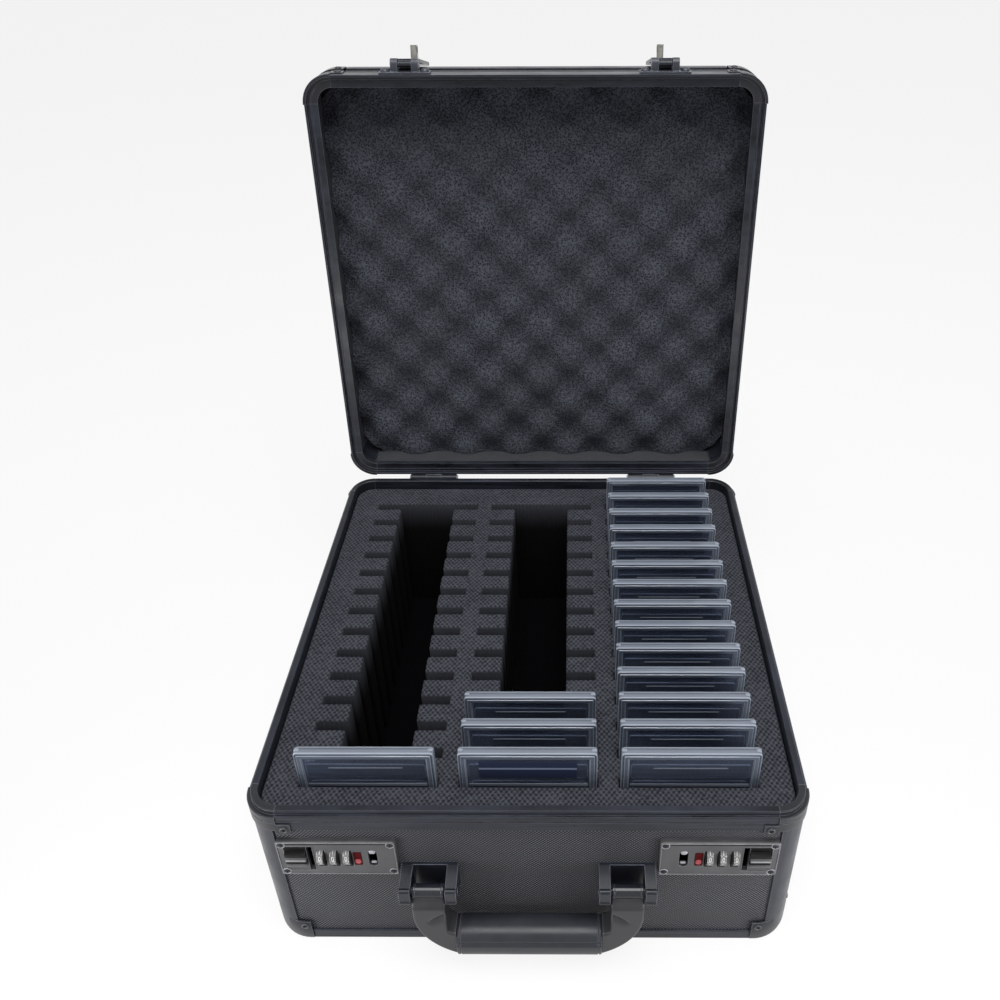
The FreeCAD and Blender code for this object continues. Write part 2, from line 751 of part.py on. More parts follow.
# Locks: each is drawn on the right hand side and mirrored to the left
def lock_plate():
    """The face plate of a lock, with windows for the hasp, the marker, the dials and the release."""
    body = new_body()
    thick = "(lock_proud + panel_recess)"
    box((LOCK_LEFT, LOCK_FACE, LOCK_LOW), (LOCK_WIDTH, thick, "lock_height"),
        ADD, body)
    round_edges(body, along(1), "lock_corner")
    doc.recompute()
    face = value(LOCK_FACE)
    tip = body.Tip
    rim = [
        "Edge%d" % number for number, edge in enumerate(tip.Shape.Edges, start=1)
        if near(edge.BoundBox.YMin, face) and near(edge.BoundBox.YMax, face)
    ]
    feature = body.newObject("PartDesign::Fillet", "round")
    feature.Base = (tip, rim)
    drive(feature, Radius="lock_edge")
    doc.recompute()
    windows = [(MARKER_X, "marker_width", "marker_tall"), (RELEASE_X, "release_width", "release_tall"),
               (MOUTH_X, "mouth_width", "(mouth_tall - mouth_width)")]
    for dial in range(DIALS):
        middle = "(%s + dial_pitch * (%d))" % (DIAL_X, dial - 1)
        windows.append((middle, "(dial_width + 2 * fit_gap)", "dial_window"))
    start = "%s - cut_over" % LOCK_FACE
    through = "%s + 2 * cut_over" % thick
    for middle, wide, tall in windows:
        body.Tip = box(("%s - %s / 2" % (middle, wide), start, "%s - %s / 2" % (LOCK_MID, tall)),
                       (wide, through, tall), TAKE, body)
    for way in ("-", "+"):
        end = "%s %s (mouth_tall - mouth_width) / 2" % (LOCK_MID, way)
        body.Tip = rod((MOUTH_X, start, end), "mouth_width / 2", through, "Y", body, DRILL)
    return body


node("lock_plates", both_sides(lock_plate()))


def lock_case():
    """The open box behind a lock plate, with two ribs between the dials."""
    body = new_body()
    left = "(%s + lock_inset)" % LOCK_LEFT
    wide = "(%s - 2 * lock_inset)" % LOCK_WIDTH
    rib_tall = "(release_tall - 2 * catch_thick - 2 * rib_gap)"
    box((left, PANEL_FACE, CASE_LOW), (wide, "lock_case_depth", CASE_TALL), ADD, body)
    box(("%s + lock_case_wall" % left, "%s - cut_over" % PANEL_FACE, "%s + lock_case_wall" % CASE_LOW),
        ("%s - 2 * lock_case_wall" % wide, "lock_case_depth - lock_case_wall + cut_over",
         "%s - 2 * lock_case_wall" % CASE_TALL),
        TAKE, body)
    for way in ("-", "+"):
        rib = "(%s %s dial_pitch / 2)" % (DIAL_X, way)
        body.Tip = box(("%s - rib_width / 2" % rib, PANEL_FACE, "%s - %s / 2" % (LOCK_MID, rib_tall)),
                       ("rib_width", "lock_case_depth - lock_case_wall / 2", rib_tall), ADD, body)
    body.Tip = rod(("%s - dial_pitch" % DIAL_X, DIAL_Y, LOCK_MID), "axle_radius + bore_gap", "2 * dial_pitch",
                   "X", body, DRILL)
    return body


axle = rod(("%s - dial_pitch - dial_width / 2" % DIAL_X, DIAL_Y, LOCK_MID), "axle_radius",
           "2 * dial_pitch + dial_width")
node("lock_cases", both_sides(lock_case()) + both_sides(axle))

marker = box(("%s - marker_width / 2 + fit_gap" % MARKER_X, "%s - marker_proud" % LOCK_FACE,
              "%s - marker_tall / 2 + fit_gap" % LOCK_MID),
             ("marker_width - 2 * fit_gap", "marker_proud + lock_proud + panel_recess",
              "marker_tall - 2 * fit_gap"))
node("lock_markers", both_sides(marker))


def screw(side_x, side_z):
    """A screw head near one corner of a lock plate, with a straight slot in it."""
    x = "(%s + %s / 2 %s (%s / 2 - screw_inset))" % (LOCK_LEFT, LOCK_WIDTH, side_x, LOCK_WIDTH)
    z = "(%s %s (lock_height / 2 - screw_inset))" % (LOCK_MID, side_z)
    head = rod((x, "%s - screw_rise" % LOCK_FACE, z), "screw_radius", "screw_rise", "Y")
    slit = box(("%s - screw_radius" % x, "%s - screw_rise - cut_over" % LOCK_FACE, "%s - screw_rise / 2" % z),
               ("2 * screw_radius", "cut_over + screw_rise / 2", "screw_rise"))
    return cut(head, slit)


screws = [screw(side_x, side_z) for side_x in "+-" for side_z in "+-"]
node("lock_screws", [copy for item in screws for copy in both_sides(item)])


def dial(number):
    """A ten-sided number wheel with a round collar, on the axle of the right hand lock."""
    left = "(%s + dial_pitch * (%d) - dial_width / 2)" % (DIAL_X, number - 1)
    wheel = doc.addObject("Part::Prism", "wheel")
    wheel.Polygon = 10
    wheel.Placement = FreeCAD.Placement(FreeCAD.Vector(), TURNS["X"])
    drive(wheel, Circumradius="dial_radius", Height="dial_width")
    place(wheel, (left, DIAL_Y, LOCK_MID))
    collar = rod((left, DIAL_Y, LOCK_MID), "dial_radius", "dial_collar")
    bore = rod(("%s - cut_over" % left, DIAL_Y, LOCK_MID), "axle_radius + bore_gap",
               "dial_width + 2 * cut_over")
    return cut(fuse([wheel, collar]), bore)


for number in range(DIALS):
    right, left = both_sides(dial(number))
    node("dial_right_%d" % (number + 1), [right])
    node("dial_left_%d" % (number + 1), [left])


def release():
    """The sliding release of a lock: a ridged button, and a catch bar with a bolt behind the staple."""
    wide = "(release_width - release_travel - 2 * fit_gap)"
    left = "(%s + release_width / 2 - fit_gap - %s)" % (RELEASE_X, wide)
    tall = "(release_tall - 2 * fit_gap)"
    low = "(%s - %s / 2)" % (LOCK_MID, tall)
    back = "(%s + lock_case_depth - lock_case_wall - catch_back - catch_thick)" % PANEL_FACE
    bar_low = "(%s + %s - catch_thick)" % (low, tall)
    stem = "(%s - bolt_reach - bolt_length - arm_stem)" % MOUTH_X
    bolt_low = "(%s - bolt_tall / 2)" % LOCK_MID
    ridge = ("%s + (%s - release_ridge) / 2" % (left, wide), "%s - release_ridge_proud" % LOCK_FACE,
             "%s - release_ridge_tall / 2 + lock_edge" % LOCK_MID)
    pieces = [
        box((left, "%s + fit_gap" % LOCK_FACE, low), (wide, "lock_proud + panel_recess", tall)),
        box(ridge, ("release_ridge", "release_ridge_proud + fit_gap + lock_edge", "release_ridge_tall")),
        box((left, PANEL_FACE, bar_low), (wide, "%s + catch_thick - %s" % (back, PANEL_FACE), "catch_thick")),
        box((stem, back, bar_low), ("%s - %s + cut_over" % (left, stem), "catch_thick", "catch_thick")),
        box((stem, back, bolt_low), ("arm_stem", "catch_thick", "%s - %s + cut_over" % (bar_low, bolt_low))),
        box((stem, back, bolt_low), ("arm_stem + bolt_length", "catch_thick", "bolt_tall")),
    ]
    return fuse(pieces)


right, left = both_sides(release())
node("release_right", [right])
node("release_left", [left])


# Handle
def bracket():
    """A handle bracket: a plate on the panel with two ears that carry the pivot pin."""
    plate = box((BRACKET_LEFT, "%s - bracket_plate" % PANEL_FACE, "bracket_base"),
                ("bracket_width", "bracket_plate", "bracket_height"))
    ear_points = [
        (PANEL_FACE, "(bracket_base + bracket_height)"),
        ("(%s - bracket_plate)" % PANEL_FACE, "(bracket_base + bracket_height)"),
        ("(%s - ear_nose + edge_break)" % PIVOT_Y, "(%s + ear_height / 2)" % PIVOT_Z),
        ("(%s - ear_nose)" % PIVOT_Y, "(%s + ear_height / 2 - edge_break)" % PIVOT_Z),
        ("(%s - ear_nose)" % PIVOT_Y, "(%s - ear_height / 2 + edge_break)" % PIVOT_Z),
        ("(%s - ear_nose + edge_break)" % PIVOT_Y, "(%s - ear_height / 2)" % PIVOT_Z),
        ("(%s + barrel_radius)" % PIVOT_Y, "(%s - ear_height / 2)" % PIVOT_Z),
        (PANEL_FACE, "bracket_base"),
    ]
    ear_wide = "((bracket_width - bracket_window) / 2)"
    ears = []
    for way in ("-", "+"):
        ear = pad("YZ_Plane", ear_points, ear_wide)
        ears.append(place(ear, ("%s %s (bracket_window + %s) / 2" % (HANDLE_X, way, ear_wide), "0", "0")))
    hole = rod(("%s - cut_over" % BRACKET_LEFT, PIVOT_Y, PIVOT_Z), "pivot_radius + bore_gap",
               "bracket_width + 2 * cut_over")
    return cut(fuse([plate] + ears), hole)


pivot_pin = rod((BRACKET_LEFT, PIVOT_Y, PIVOT_Z), "pivot_radius", "bracket_width")
node("handle_brackets", both_sides(bracket()) + both_sides(pivot_pin))


def handle_frame():
    """The moulded handle: two arms with a large outer bend, joined by a core inside the grip.

    Its front outline, with arcs, is crossed with its side outline, and bored for the pins.
    """
    outer = value("%s + arm_width / 2" % HANDLE_X)
    inner = value("%s - arm_width / 2" % HANDLE_X)
    pivot_y = value(PIVOT_Y)
    pivot_z = value(PIVOT_Z)
    barrel = value("barrel_radius")
    bend = value("arm_bend")
    bend_z = pivot_z - value("arm_straight")
    grip_end = value(GRIP_END)
    grip_top = value("grip_bottom + grip_height")
    fillet = value("grip_fillet")
    over = value("cut_over")
    # The outer bend runs down to where the grip begins.
    centre_x = outer - bend
    foot_angle = -math.acos((grip_end - centre_x) / bend)
    foot_z = bend_z + bend * math.sin(foot_angle)
    bend_mid = (centre_x + bend * math.cos(foot_angle / 2), bend_z + bend * math.sin(foot_angle / 2))
    fillet_mid = fillet * (1 - math.sqrt(0.5))

    def arm(side):
        def spot(x, z):
            return FreeCAD.Vector(side * x, pivot_y - value("arm_thick / 2") - over, z)

        top = pivot_z + barrel
        lines = [
            Part.makeLine(spot(outer, top), spot(outer, bend_z)),
            Part.Arc(spot(outer, bend_z), spot(*bend_mid), spot(grip_end, foot_z)).toShape(),
            Part.makeLine(spot(grip_end, foot_z), spot(grip_end, grip_top)),
            Part.Arc(spot(grip_end, grip_top), spot(inner - fillet_mid, grip_top + fillet_mid),
                     spot(inner, grip_top + fillet)).toShape(),
            Part.makeLine(spot(inner, grip_top + fillet), spot(inner, top)),
            Part.makeLine(spot(inner, top), spot(outer, top)),
        ]
        front = Part.Face(Part.Wire(lines))
        return front.extrude(FreeCAD.Vector(0, value("arm_thick + 2 * cut_over"), 0))

    half_thick = value("arm_thick / 2")
    shoulder = pivot_z - value("arm_shoulder")
    low = foot_z - over
    profile = [(-barrel, pivot_z), (-half_thick, shoulder), (-half_thick, low), (half_thick, low),
               (half_thick, shoulder), (barrel, pivot_z)]
    points = [FreeCAD.Vector(-outer - over, pivot_y + y, z) for y, z in profile]
    crown = FreeCAD.Vector(-outer - over, pivot_y, pivot_z + barrel)
    lines = [Part.makeLine(one, two) for one, two in zip(points, points[1:])]
    lines.append(Part.Arc(points[-1], crown, points[0]).toShape())
    side_view = Part.Face(Part.Wire(lines)).extrude(FreeCAD.Vector(2 * (outer + over), 0, 0))
    arms = [arm(side).common(side_view) for side in (1, -1)]
    core_low = value("grip_bottom + grip_height / 2 - core_height / 2")
    core = Part.makeBox(2 * (grip_end + over), value("core_thick"), value("core_height"),
                        FreeCAD.Vector(-grip_end - over, pivot_y - value("core_thick / 2"), core_low))
    bore = Part.makeCylinder(value("pivot_radius + bore_gap"), 2 * (outer + over),
                             FreeCAD.Vector(-outer - over, pivot_y, pivot_z), FreeCAD.Vector(1, 0, 0))
    return arms[0].fuse([arms[1], core]).cut(bore).removeSplitter()


frame = doc.addObject("Part::Feature", "frame")
frame.Shape = handle_frame()
node("handle_frame", [frame])

grip_body = new_body()
box(("fit_gap - %s" % GRIP_END, "%s - grip_thick / 2" % PIVOT_Y, "grip_bottom"),
    ("2 * (%s - fit_gap)" % GRIP_END, "grip_thick", "grip_height"), ADD, grip_body)
round_edges(grip_body, along(0), "grip_round")
core_hole = box(("0 - %s - cut_over" % GRIP_END, "%s - core_thick / 2 - fit_gap" % PIVOT_Y,
                 "grip_bottom + grip_height / 2 - core_height / 2 - fit_gap"),
                ("2 * (%s + cut_over)" % GRIP_END, "core_thick + 2 * fit_gap", "core_height + 2 * fit_gap"))
node("handle_grip", [cut(grip_body, core_hole)])


# Hinges
def knuckle(offset, wide):
    """One knuckle of the right hand hinge, before it is bored."""
    return rod(("hinge_place + %s" % offset, HINGE_Y, HINGE_Z), "knuckle_radius", wide)


def leaf(half):
    """A hinge leaf. The base's leaf has the two outer knuckles and the lid's the middle one."""
    third = "(hinge_width / 3)"
    left = "(hinge_place - hinge_width / 2)"
    if half.lid:
        spans = [("(0 - %s / 2 + knuckle_gap)" % third, "(%s - 2 * knuckle_gap)" % third)]
        plate_low = "(%s + leaf_rise)" % HINGE_Z
        lug_low = HINGE_Z
    else:
        spans = [("(0 - hinge_width / 2)", third), ("(%s / 2)" % third, third)]
        plate_low = "(%s - leaf_rise - leaf_height)" % HINGE_Z
        lug_low = "(%s - leaf_rise - cut_over)" % HINGE_Z
    pieces = [box((left, HALF_Y, plate_low), ("hinge_width", "leaf_thick", "leaf_height"))]
    for offset, wide in spans:
        pieces.append(knuckle(offset, wide))
        pieces.append(box(("hinge_place + %s" % offset, HALF_Y, lug_low),
                          (wide, "leaf_thick", "leaf_rise + cut_over")))
    bore = rod(("%s - cut_over" % left, HINGE_Y, HINGE_Z), "pin_radius + bore_gap",
               "hinge_width + 2 * cut_over")
    return cut(fuse(pieces), bore)


hinge_pin = rod(("hinge_place - hinge_width / 2", HINGE_Y, HINGE_Z), "pin_radius", "hinge_width")
node("hinge_leaves_base", both_sides(leaf(base)) + both_sides(hinge_pin))
lid_node("hinge_leaves_lid", both_sides(leaf(lid)))

# Lid: the upper half of the case, drawn closed and swung open
lid_node("lid_rim_rails", rim_rails(lid))
lid_node("lid_rim_corners", rim_corners(lid))
lid_node("lid_posts", posts(lid))
lid_node("lid_top_rails", end_rails(lid))
lid_node("lid_corner_caps", corner_caps(lid))
lid_node("lid_rivets", rivets(lid))
lid_node("lid_top_panel", [end_panel(lid)])
lid_front = wall(lid, True)
lid_node("lid_wall_panels", [lid_front, mirror(lid_front, (0, 1, 0))] + both_sides(wall(lid, False)))


def lid_foam():
    """The convoluted foam pad of the closed lid, seen from below.

    Peaks and hollows stand on a square grid like the colours of a chessboard. Each cell of the
    grid is two flat triangles between its four corners.
    """
    half_x = value("%s - %s - foam_gap" % (HALF_X, PANEL_IN))
    half_y = value("%s - %s - foam_gap" % (HALF_Y, PANEL_IN))
    corner = value("post_leg")
    top = value(FOAM_TOP)
    back = value("foam_back")
    wave = value("foam_wave")
    pitch = value("foam_pitch")
    count_x = round(2 * half_x / pitch)
    count_y = round(2 * half_y / pitch)

    def spot(i, j):
        depth = back + (wave if (i + j) % 2 == 0 else 0)
        x = -half_x + 2 * half_x * i / count_x
        y = -half_y + 2 * half_y * j / count_y
        return FreeCAD.Vector(x, y, top - depth)

    def above(point):
        return FreeCAD.Vector(point.x, point.y, top)

    def face(*points):
        return Part.Face(Part.makePolygon(list(points) + [points[0]]))

    faces = []
    for i in range(count_x):
        for j in range(count_y):
            a, b, c, d = spot(i, j), spot(i + 1, j), spot(i + 1, j + 1), spot(i, j + 1)
            if (i + j) % 2 == 0:
                faces += [face(a, b, d), face(b, c, d)]
            else:
                faces += [face(a, b, c), face(a, c, d)]
    ring = [spot(i, 0) for i in range(count_x)] + [spot(count_x, j) for j in range(count_y)]
    ring += [spot(i, count_y) for i in range(count_x, 0, -1)] + [spot(0, j) for j in range(count_y, 0, -1)]
    for one, two in zip(ring, ring[1:] + ring[:1]):
        faces.append(face(one, two, above(two), above(one)))
    faces.append(Part.Face(Part.makePolygon([above(p) for p in ring] + [above(ring[0])])))
    solid = Part.makeSolid(Part.makeShell(faces))
    if solid.Volume < 0:
        solid.reverse()
    # The corners are cut off to clear the posts.
    low = top - back - wave
    for side_x in (1, -1):
        for side_y in (1, -1):
            x, y = side_x * half_x, side_y * half_y
            points = [FreeCAD.Vector(x, y, low), FreeCAD.Vector(x - side_x * corner, y, low),
                      FreeCAD.Vector(x, y - side_y * corner, low)]
            wedge = Part.Face(Part.makePolygon(points + points[:1]))
            solid = solid.cut(wedge.extrude(FreeCAD.Vector(0, 0, back + wave)))
    return solid


foam = doc.addObject("Part::Feature", "foam")
foam.Shape = lid_foam()
lid_node("lid_foam", [foam])


# Hasps: drawn on the closed lid on the right hand side, folded open, and swung up with the lid
def hasp_bracket():
    """A riveted plate on the lid's rim with two cheeks for the hasp's pin."""
    cheek = "((hasp_width - hasp_neck) / 2 - hasp_neck_gap)"
    pieces = [box(("%s - hasp_plate_width / 2" % MOUTH_X, "0 - %s - hasp_plate_thick" % HALF_Y,
                   "%s + hasp_plate_drop" % SPLIT),
                  ("hasp_plate_width", "hasp_plate_thick", "hasp_plate_height"))]
    for left in ("(%s - hasp_width / 2)" % MOUTH_X, "(%s + hasp_width / 2 - %s)" % (MOUTH_X, cheek)):
        pieces.append(rod((left, HASP_Y, HASP_Z), "hasp_cheek_radius", cheek))
        pieces.append(box((left, HASP_Y, "%s - hasp_cheek_radius" % HASP_Z),
                          (cheek, "hasp_pivot_out", "2 * hasp_cheek_radius")))
    bore = rod(("%s - hasp_width / 2 - cut_over" % MOUTH_X, HASP_Y, HASP_Z), "hasp_pin_radius + bore_gap",
               "hasp_width + 2 * cut_over")
    return cut(fuse(pieces), bore)


hasp_pin = rod(("%s - hasp_width / 2" % MOUTH_X, HASP_Y, HASP_Z), "hasp_pin_radius", "hasp_width")
lid_node("hasp_brackets", both_sides(hasp_bracket()) + both_sides(hasp_pin))


def hasp_plate():
    """The swinging plate of a hasp, with its barrel on the pin."""
    outer = "(%s - hasp_thick)" % HASP_IN
    shoulder = "(%s - hasp_shoulder)" % HASP_Z
    tail = "(%s - hasp_tail)" % LOCK_MID
    neck_left = "(%s - hasp_neck / 2)" % MOUTH_X
    body = new_body()
    box(("%s - hasp_width / 2" % MOUTH_X, outer, tail),
        ("hasp_width", "hasp_thick", "%s - %s" % (shoulder, tail)), ADD, body)
    doc.recompute()
    tail_z = value(tail)
    round_edges(body, lambda a, b: along(1)(a, b) and near(a.z, tail_z), "hasp_corner")
    neck = box((neck_left, outer, "%s - cut_over" % shoulder),
               ("hasp_neck", "hasp_thick", "hasp_shoulder + cut_over"))
    barrel = rod((neck_left, HASP_Y, HASP_Z), "hasp_barrel", "hasp_neck")
    bore = rod(("%s - cut_over" % neck_left, HASP_Y, HASP_Z), "hasp_pin_radius + bore_gap",
               "hasp_neck + 2 * cut_over")
    return cut(fuse([body, neck, barrel]), bore)


def staple():
    """The hook of a hasp: a flat nose with an eye for the bolt of the lock."""
    left = "(%s - staple_width / 2)" % MOUTH_X
    nose = box((left, HASP_IN, "%s - staple_tall / 2" % LOCK_MID),
               ("staple_width", "staple_length", "staple_tall"))
    eye_start = "%s + staple_length - staple_nose - staple_eye" % HASP_IN
    eye = box(("%s - cut_over" % left, eye_start, "%s - staple_eye / 2" % LOCK_MID),
              ("staple_width + 2 * cut_over", "staple_eye", "staple_eye"))
    return cut(nose, eye)


def folded(label, item):
    """A hasp piece folded back over the lid, then swung open with it."""
    return lid_node(label, [turn(group([item]), FOLD_TURN, HASP_Y, HASP_Z)])


for name, shape in (("hasp_plate", hasp_plate()), ("hasp_staple", staple())):
    right, left = both_sides(shape)
    folded(name + "_right", right)
    folded(name + "_left", left)


# Card holders: one clear case, set into the slots that the photograph shows filled
def holder():
    """A clear card case with a raised frame round both windows and rails along its top."""
    body = new_body()
    box(("0 - holder_width / 2", "0 - holder_thick / 2", "0"),
        ("holder_width", "holder_thick", "holder_height"), ADD, body)
    round_edges(body, along(1), "holder_round")
    inside = ("holder_width - 2 * holder_border", "holder_recess + cut_over",
              "holder_height - 2 * holder_border")
    for start in ("(0 - holder_thick / 2 - cut_over)", "(holder_thick / 2 - holder_recess)"):
        body.Tip = box(("holder_border - holder_width / 2", start, "holder_border"), inside, TAKE, body)
    for way in ("-", "+"):
        body.Tip = box(("holder_border - holder_width / 2", "0 %s holder_rail - holder_rail / 2" % way,
                        "holder_height - holder_rail / 2"),
                       ("holder_width - 2 * holder_border", "holder_rail", "holder_rail"), TAKE, body)
    return body


HOLDER = holder()
FILLED = [("left", LEFT_COUNT), ("middle", MIDDLE_COUNT), ("right", SLOTS)]
for column, (side, count) in enumerate(FILLED):
    for slot in range(count):
        item = node("holder_%s_%d" % (side, slot + 1), [HOLDER])
        depth = "%s + %s / 2 + %s * %d" % (SLOT_0, SLOT_GAP, SLOT_PITCH, slot)
        place(item, ("%s * (%d)" % (COLUMN_PITCH, column - 1), depth, TRAY_BASE))

doc.recompute()
broken = [item.Label for item in doc.Objects if "Invalid" in item.State or "Error" in item.State]
if broken:
    raise RuntimeError("objects that failed: " + ", ".join(broken))
for item in NODES:
    if item.Shape.isNull() or not item.Shape.isValid():
        raise RuntimeError("bad shape: " + item.Label)
    item.Shape.exportStep("parts/%s.step" % item.Label)
print("%d sub-parts written" % len(NODES))
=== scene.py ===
import bmesh
import bpy
import json
import math
import numpy as np
from mathutils import Matrix, Vector

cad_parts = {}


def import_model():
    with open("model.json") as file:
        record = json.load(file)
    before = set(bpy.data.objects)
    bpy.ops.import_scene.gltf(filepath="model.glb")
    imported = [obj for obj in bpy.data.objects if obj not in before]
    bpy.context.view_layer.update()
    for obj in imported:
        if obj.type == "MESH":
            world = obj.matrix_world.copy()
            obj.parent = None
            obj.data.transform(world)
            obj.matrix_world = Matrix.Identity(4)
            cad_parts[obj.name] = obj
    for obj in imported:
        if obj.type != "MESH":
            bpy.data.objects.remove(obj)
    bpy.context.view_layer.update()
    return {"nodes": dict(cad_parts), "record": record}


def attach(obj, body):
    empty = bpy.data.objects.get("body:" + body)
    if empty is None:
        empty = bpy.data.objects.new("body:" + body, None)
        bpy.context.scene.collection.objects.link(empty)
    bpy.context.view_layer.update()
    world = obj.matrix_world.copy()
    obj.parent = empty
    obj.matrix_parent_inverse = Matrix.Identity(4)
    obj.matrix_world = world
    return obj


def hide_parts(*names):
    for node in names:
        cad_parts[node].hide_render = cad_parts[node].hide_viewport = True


# A square black case for graded-card holders: aluminium edges round embossed panels, a slotted
# foam tray, a padded lid, two dial locks with hasps and a folding handle. Metres, +Z up.

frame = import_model()
nodes = frame["nodes"]
slot_of = {part["node"]: part["material_slot"] for part in frame["record"]["subparts"]}
MM = 0.001
SIDES = {"left": -1, "right": 1}

# Places on the closed lid are turned about the hinge to the open rest pose
HINGE_Y, HINGE_Z = 168.5 * MM, 126.1 * MM
LEAN = math.radians(-93.5)
OPEN = (Matrix.Translation((0, HINGE_Y, HINGE_Z)) @ Matrix.Rotation(LEAN, 4, "X")
        @ Matrix.Translation((0, -HINGE_Y, -HINGE_Z)))


def opened(points):
    """Closed-lid points turned to the open rest pose: a rotation about the hinge line."""
    turn = np.array(OPEN)
    return points @ turn[:3, :3].T + turn[:3, 3]


# Meshes from arrays of points and faces

def grid_faces(rows, columns, wrap_rows=False, wrap_columns=False):
    """Quads between neighbouring points of a grid, running round again where it wraps."""
    i, j = np.meshgrid(np.arange(rows - (not wrap_rows)), np.arange(columns - (not wrap_columns)),
                       indexing="ij")
    k, l = (i + 1) % rows, (j + 1) % columns
    return np.stack([i * columns + j, k * columns + j, k * columns + l, i * columns + l],
                    -1).reshape(-1, 4)


def capped(rows, columns):
    """Faces of a tube of rings: its wall, then a flat cap on the first ring and on the last."""
    first = np.arange(columns)[None, :]
    return [grid_faces(rows, columns, wrap_columns=True), first, first[:, ::-1] + (rows - 1) * columns]


def joined(shells):
    """Several (points, faces) shells as one."""
    points, faces, count = [], [], 0
    for spots, quads in shells:
        points.append(spots)
        faces += [quad + count for quad in (quads if isinstance(quads, list) else [quads])]
        count += len(spots)
    return np.concatenate(points), faces


def piece(name, points, faces, finish, body, slot, crease=35, outward=True, merge=True):
    """A mesh object from points and arrays of faces, welded, with its normals outward."""
    faces = faces if isinstance(faces, list) else [faces]
    corners = np.concatenate([face.ravel() for face in faces]).astype(np.int32)
    sizes = np.concatenate([np.full(len(face), face.shape[1]) for face in faces]).astype(np.int32)
    starts = np.concatenate([[0], np.cumsum(sizes)[:-1]]).astype(np.int32)
    mesh = bpy.data.meshes.new(name)
    mesh.vertices.add(len(points))
    mesh.vertices.foreach_set("co", np.ascontiguousarray(points, np.float32).ravel())
    mesh.loops.add(len(corners))
    mesh.loops.foreach_set("vertex_index", corners)
    mesh.polygons.add(len(sizes))
    mesh.polygons.foreach_set("loop_start", starts)
    mesh.polygons.foreach_set("loop_total", sizes)
    mesh.update(calc_edges=True)
    mesh.validate()
    if merge:
        shape = bmesh.new()
        shape.from_mesh(mesh)
        bmesh.ops.remove_doubles(shape, verts=shape.verts, dist=1e-6)
        if outward:
            bmesh.ops.recalc_face_normals(shape, faces=shape.faces)
        shape.to_mesh(mesh)
        shape.free()
    mesh.polygons.foreach_set("use_smooth", np.ones(len(mesh.polygons), bool))
    mesh.set_sharp_from_angle(angle=math.radians(crease))
    mesh.materials.append(finish)
    made = bpy.data.objects.new(name, mesh)
    bpy.context.scene.collection.objects.link(made)
    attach(made, body)
    return made


# Finishes. Patterns read each piece's own coordinates, in metres.

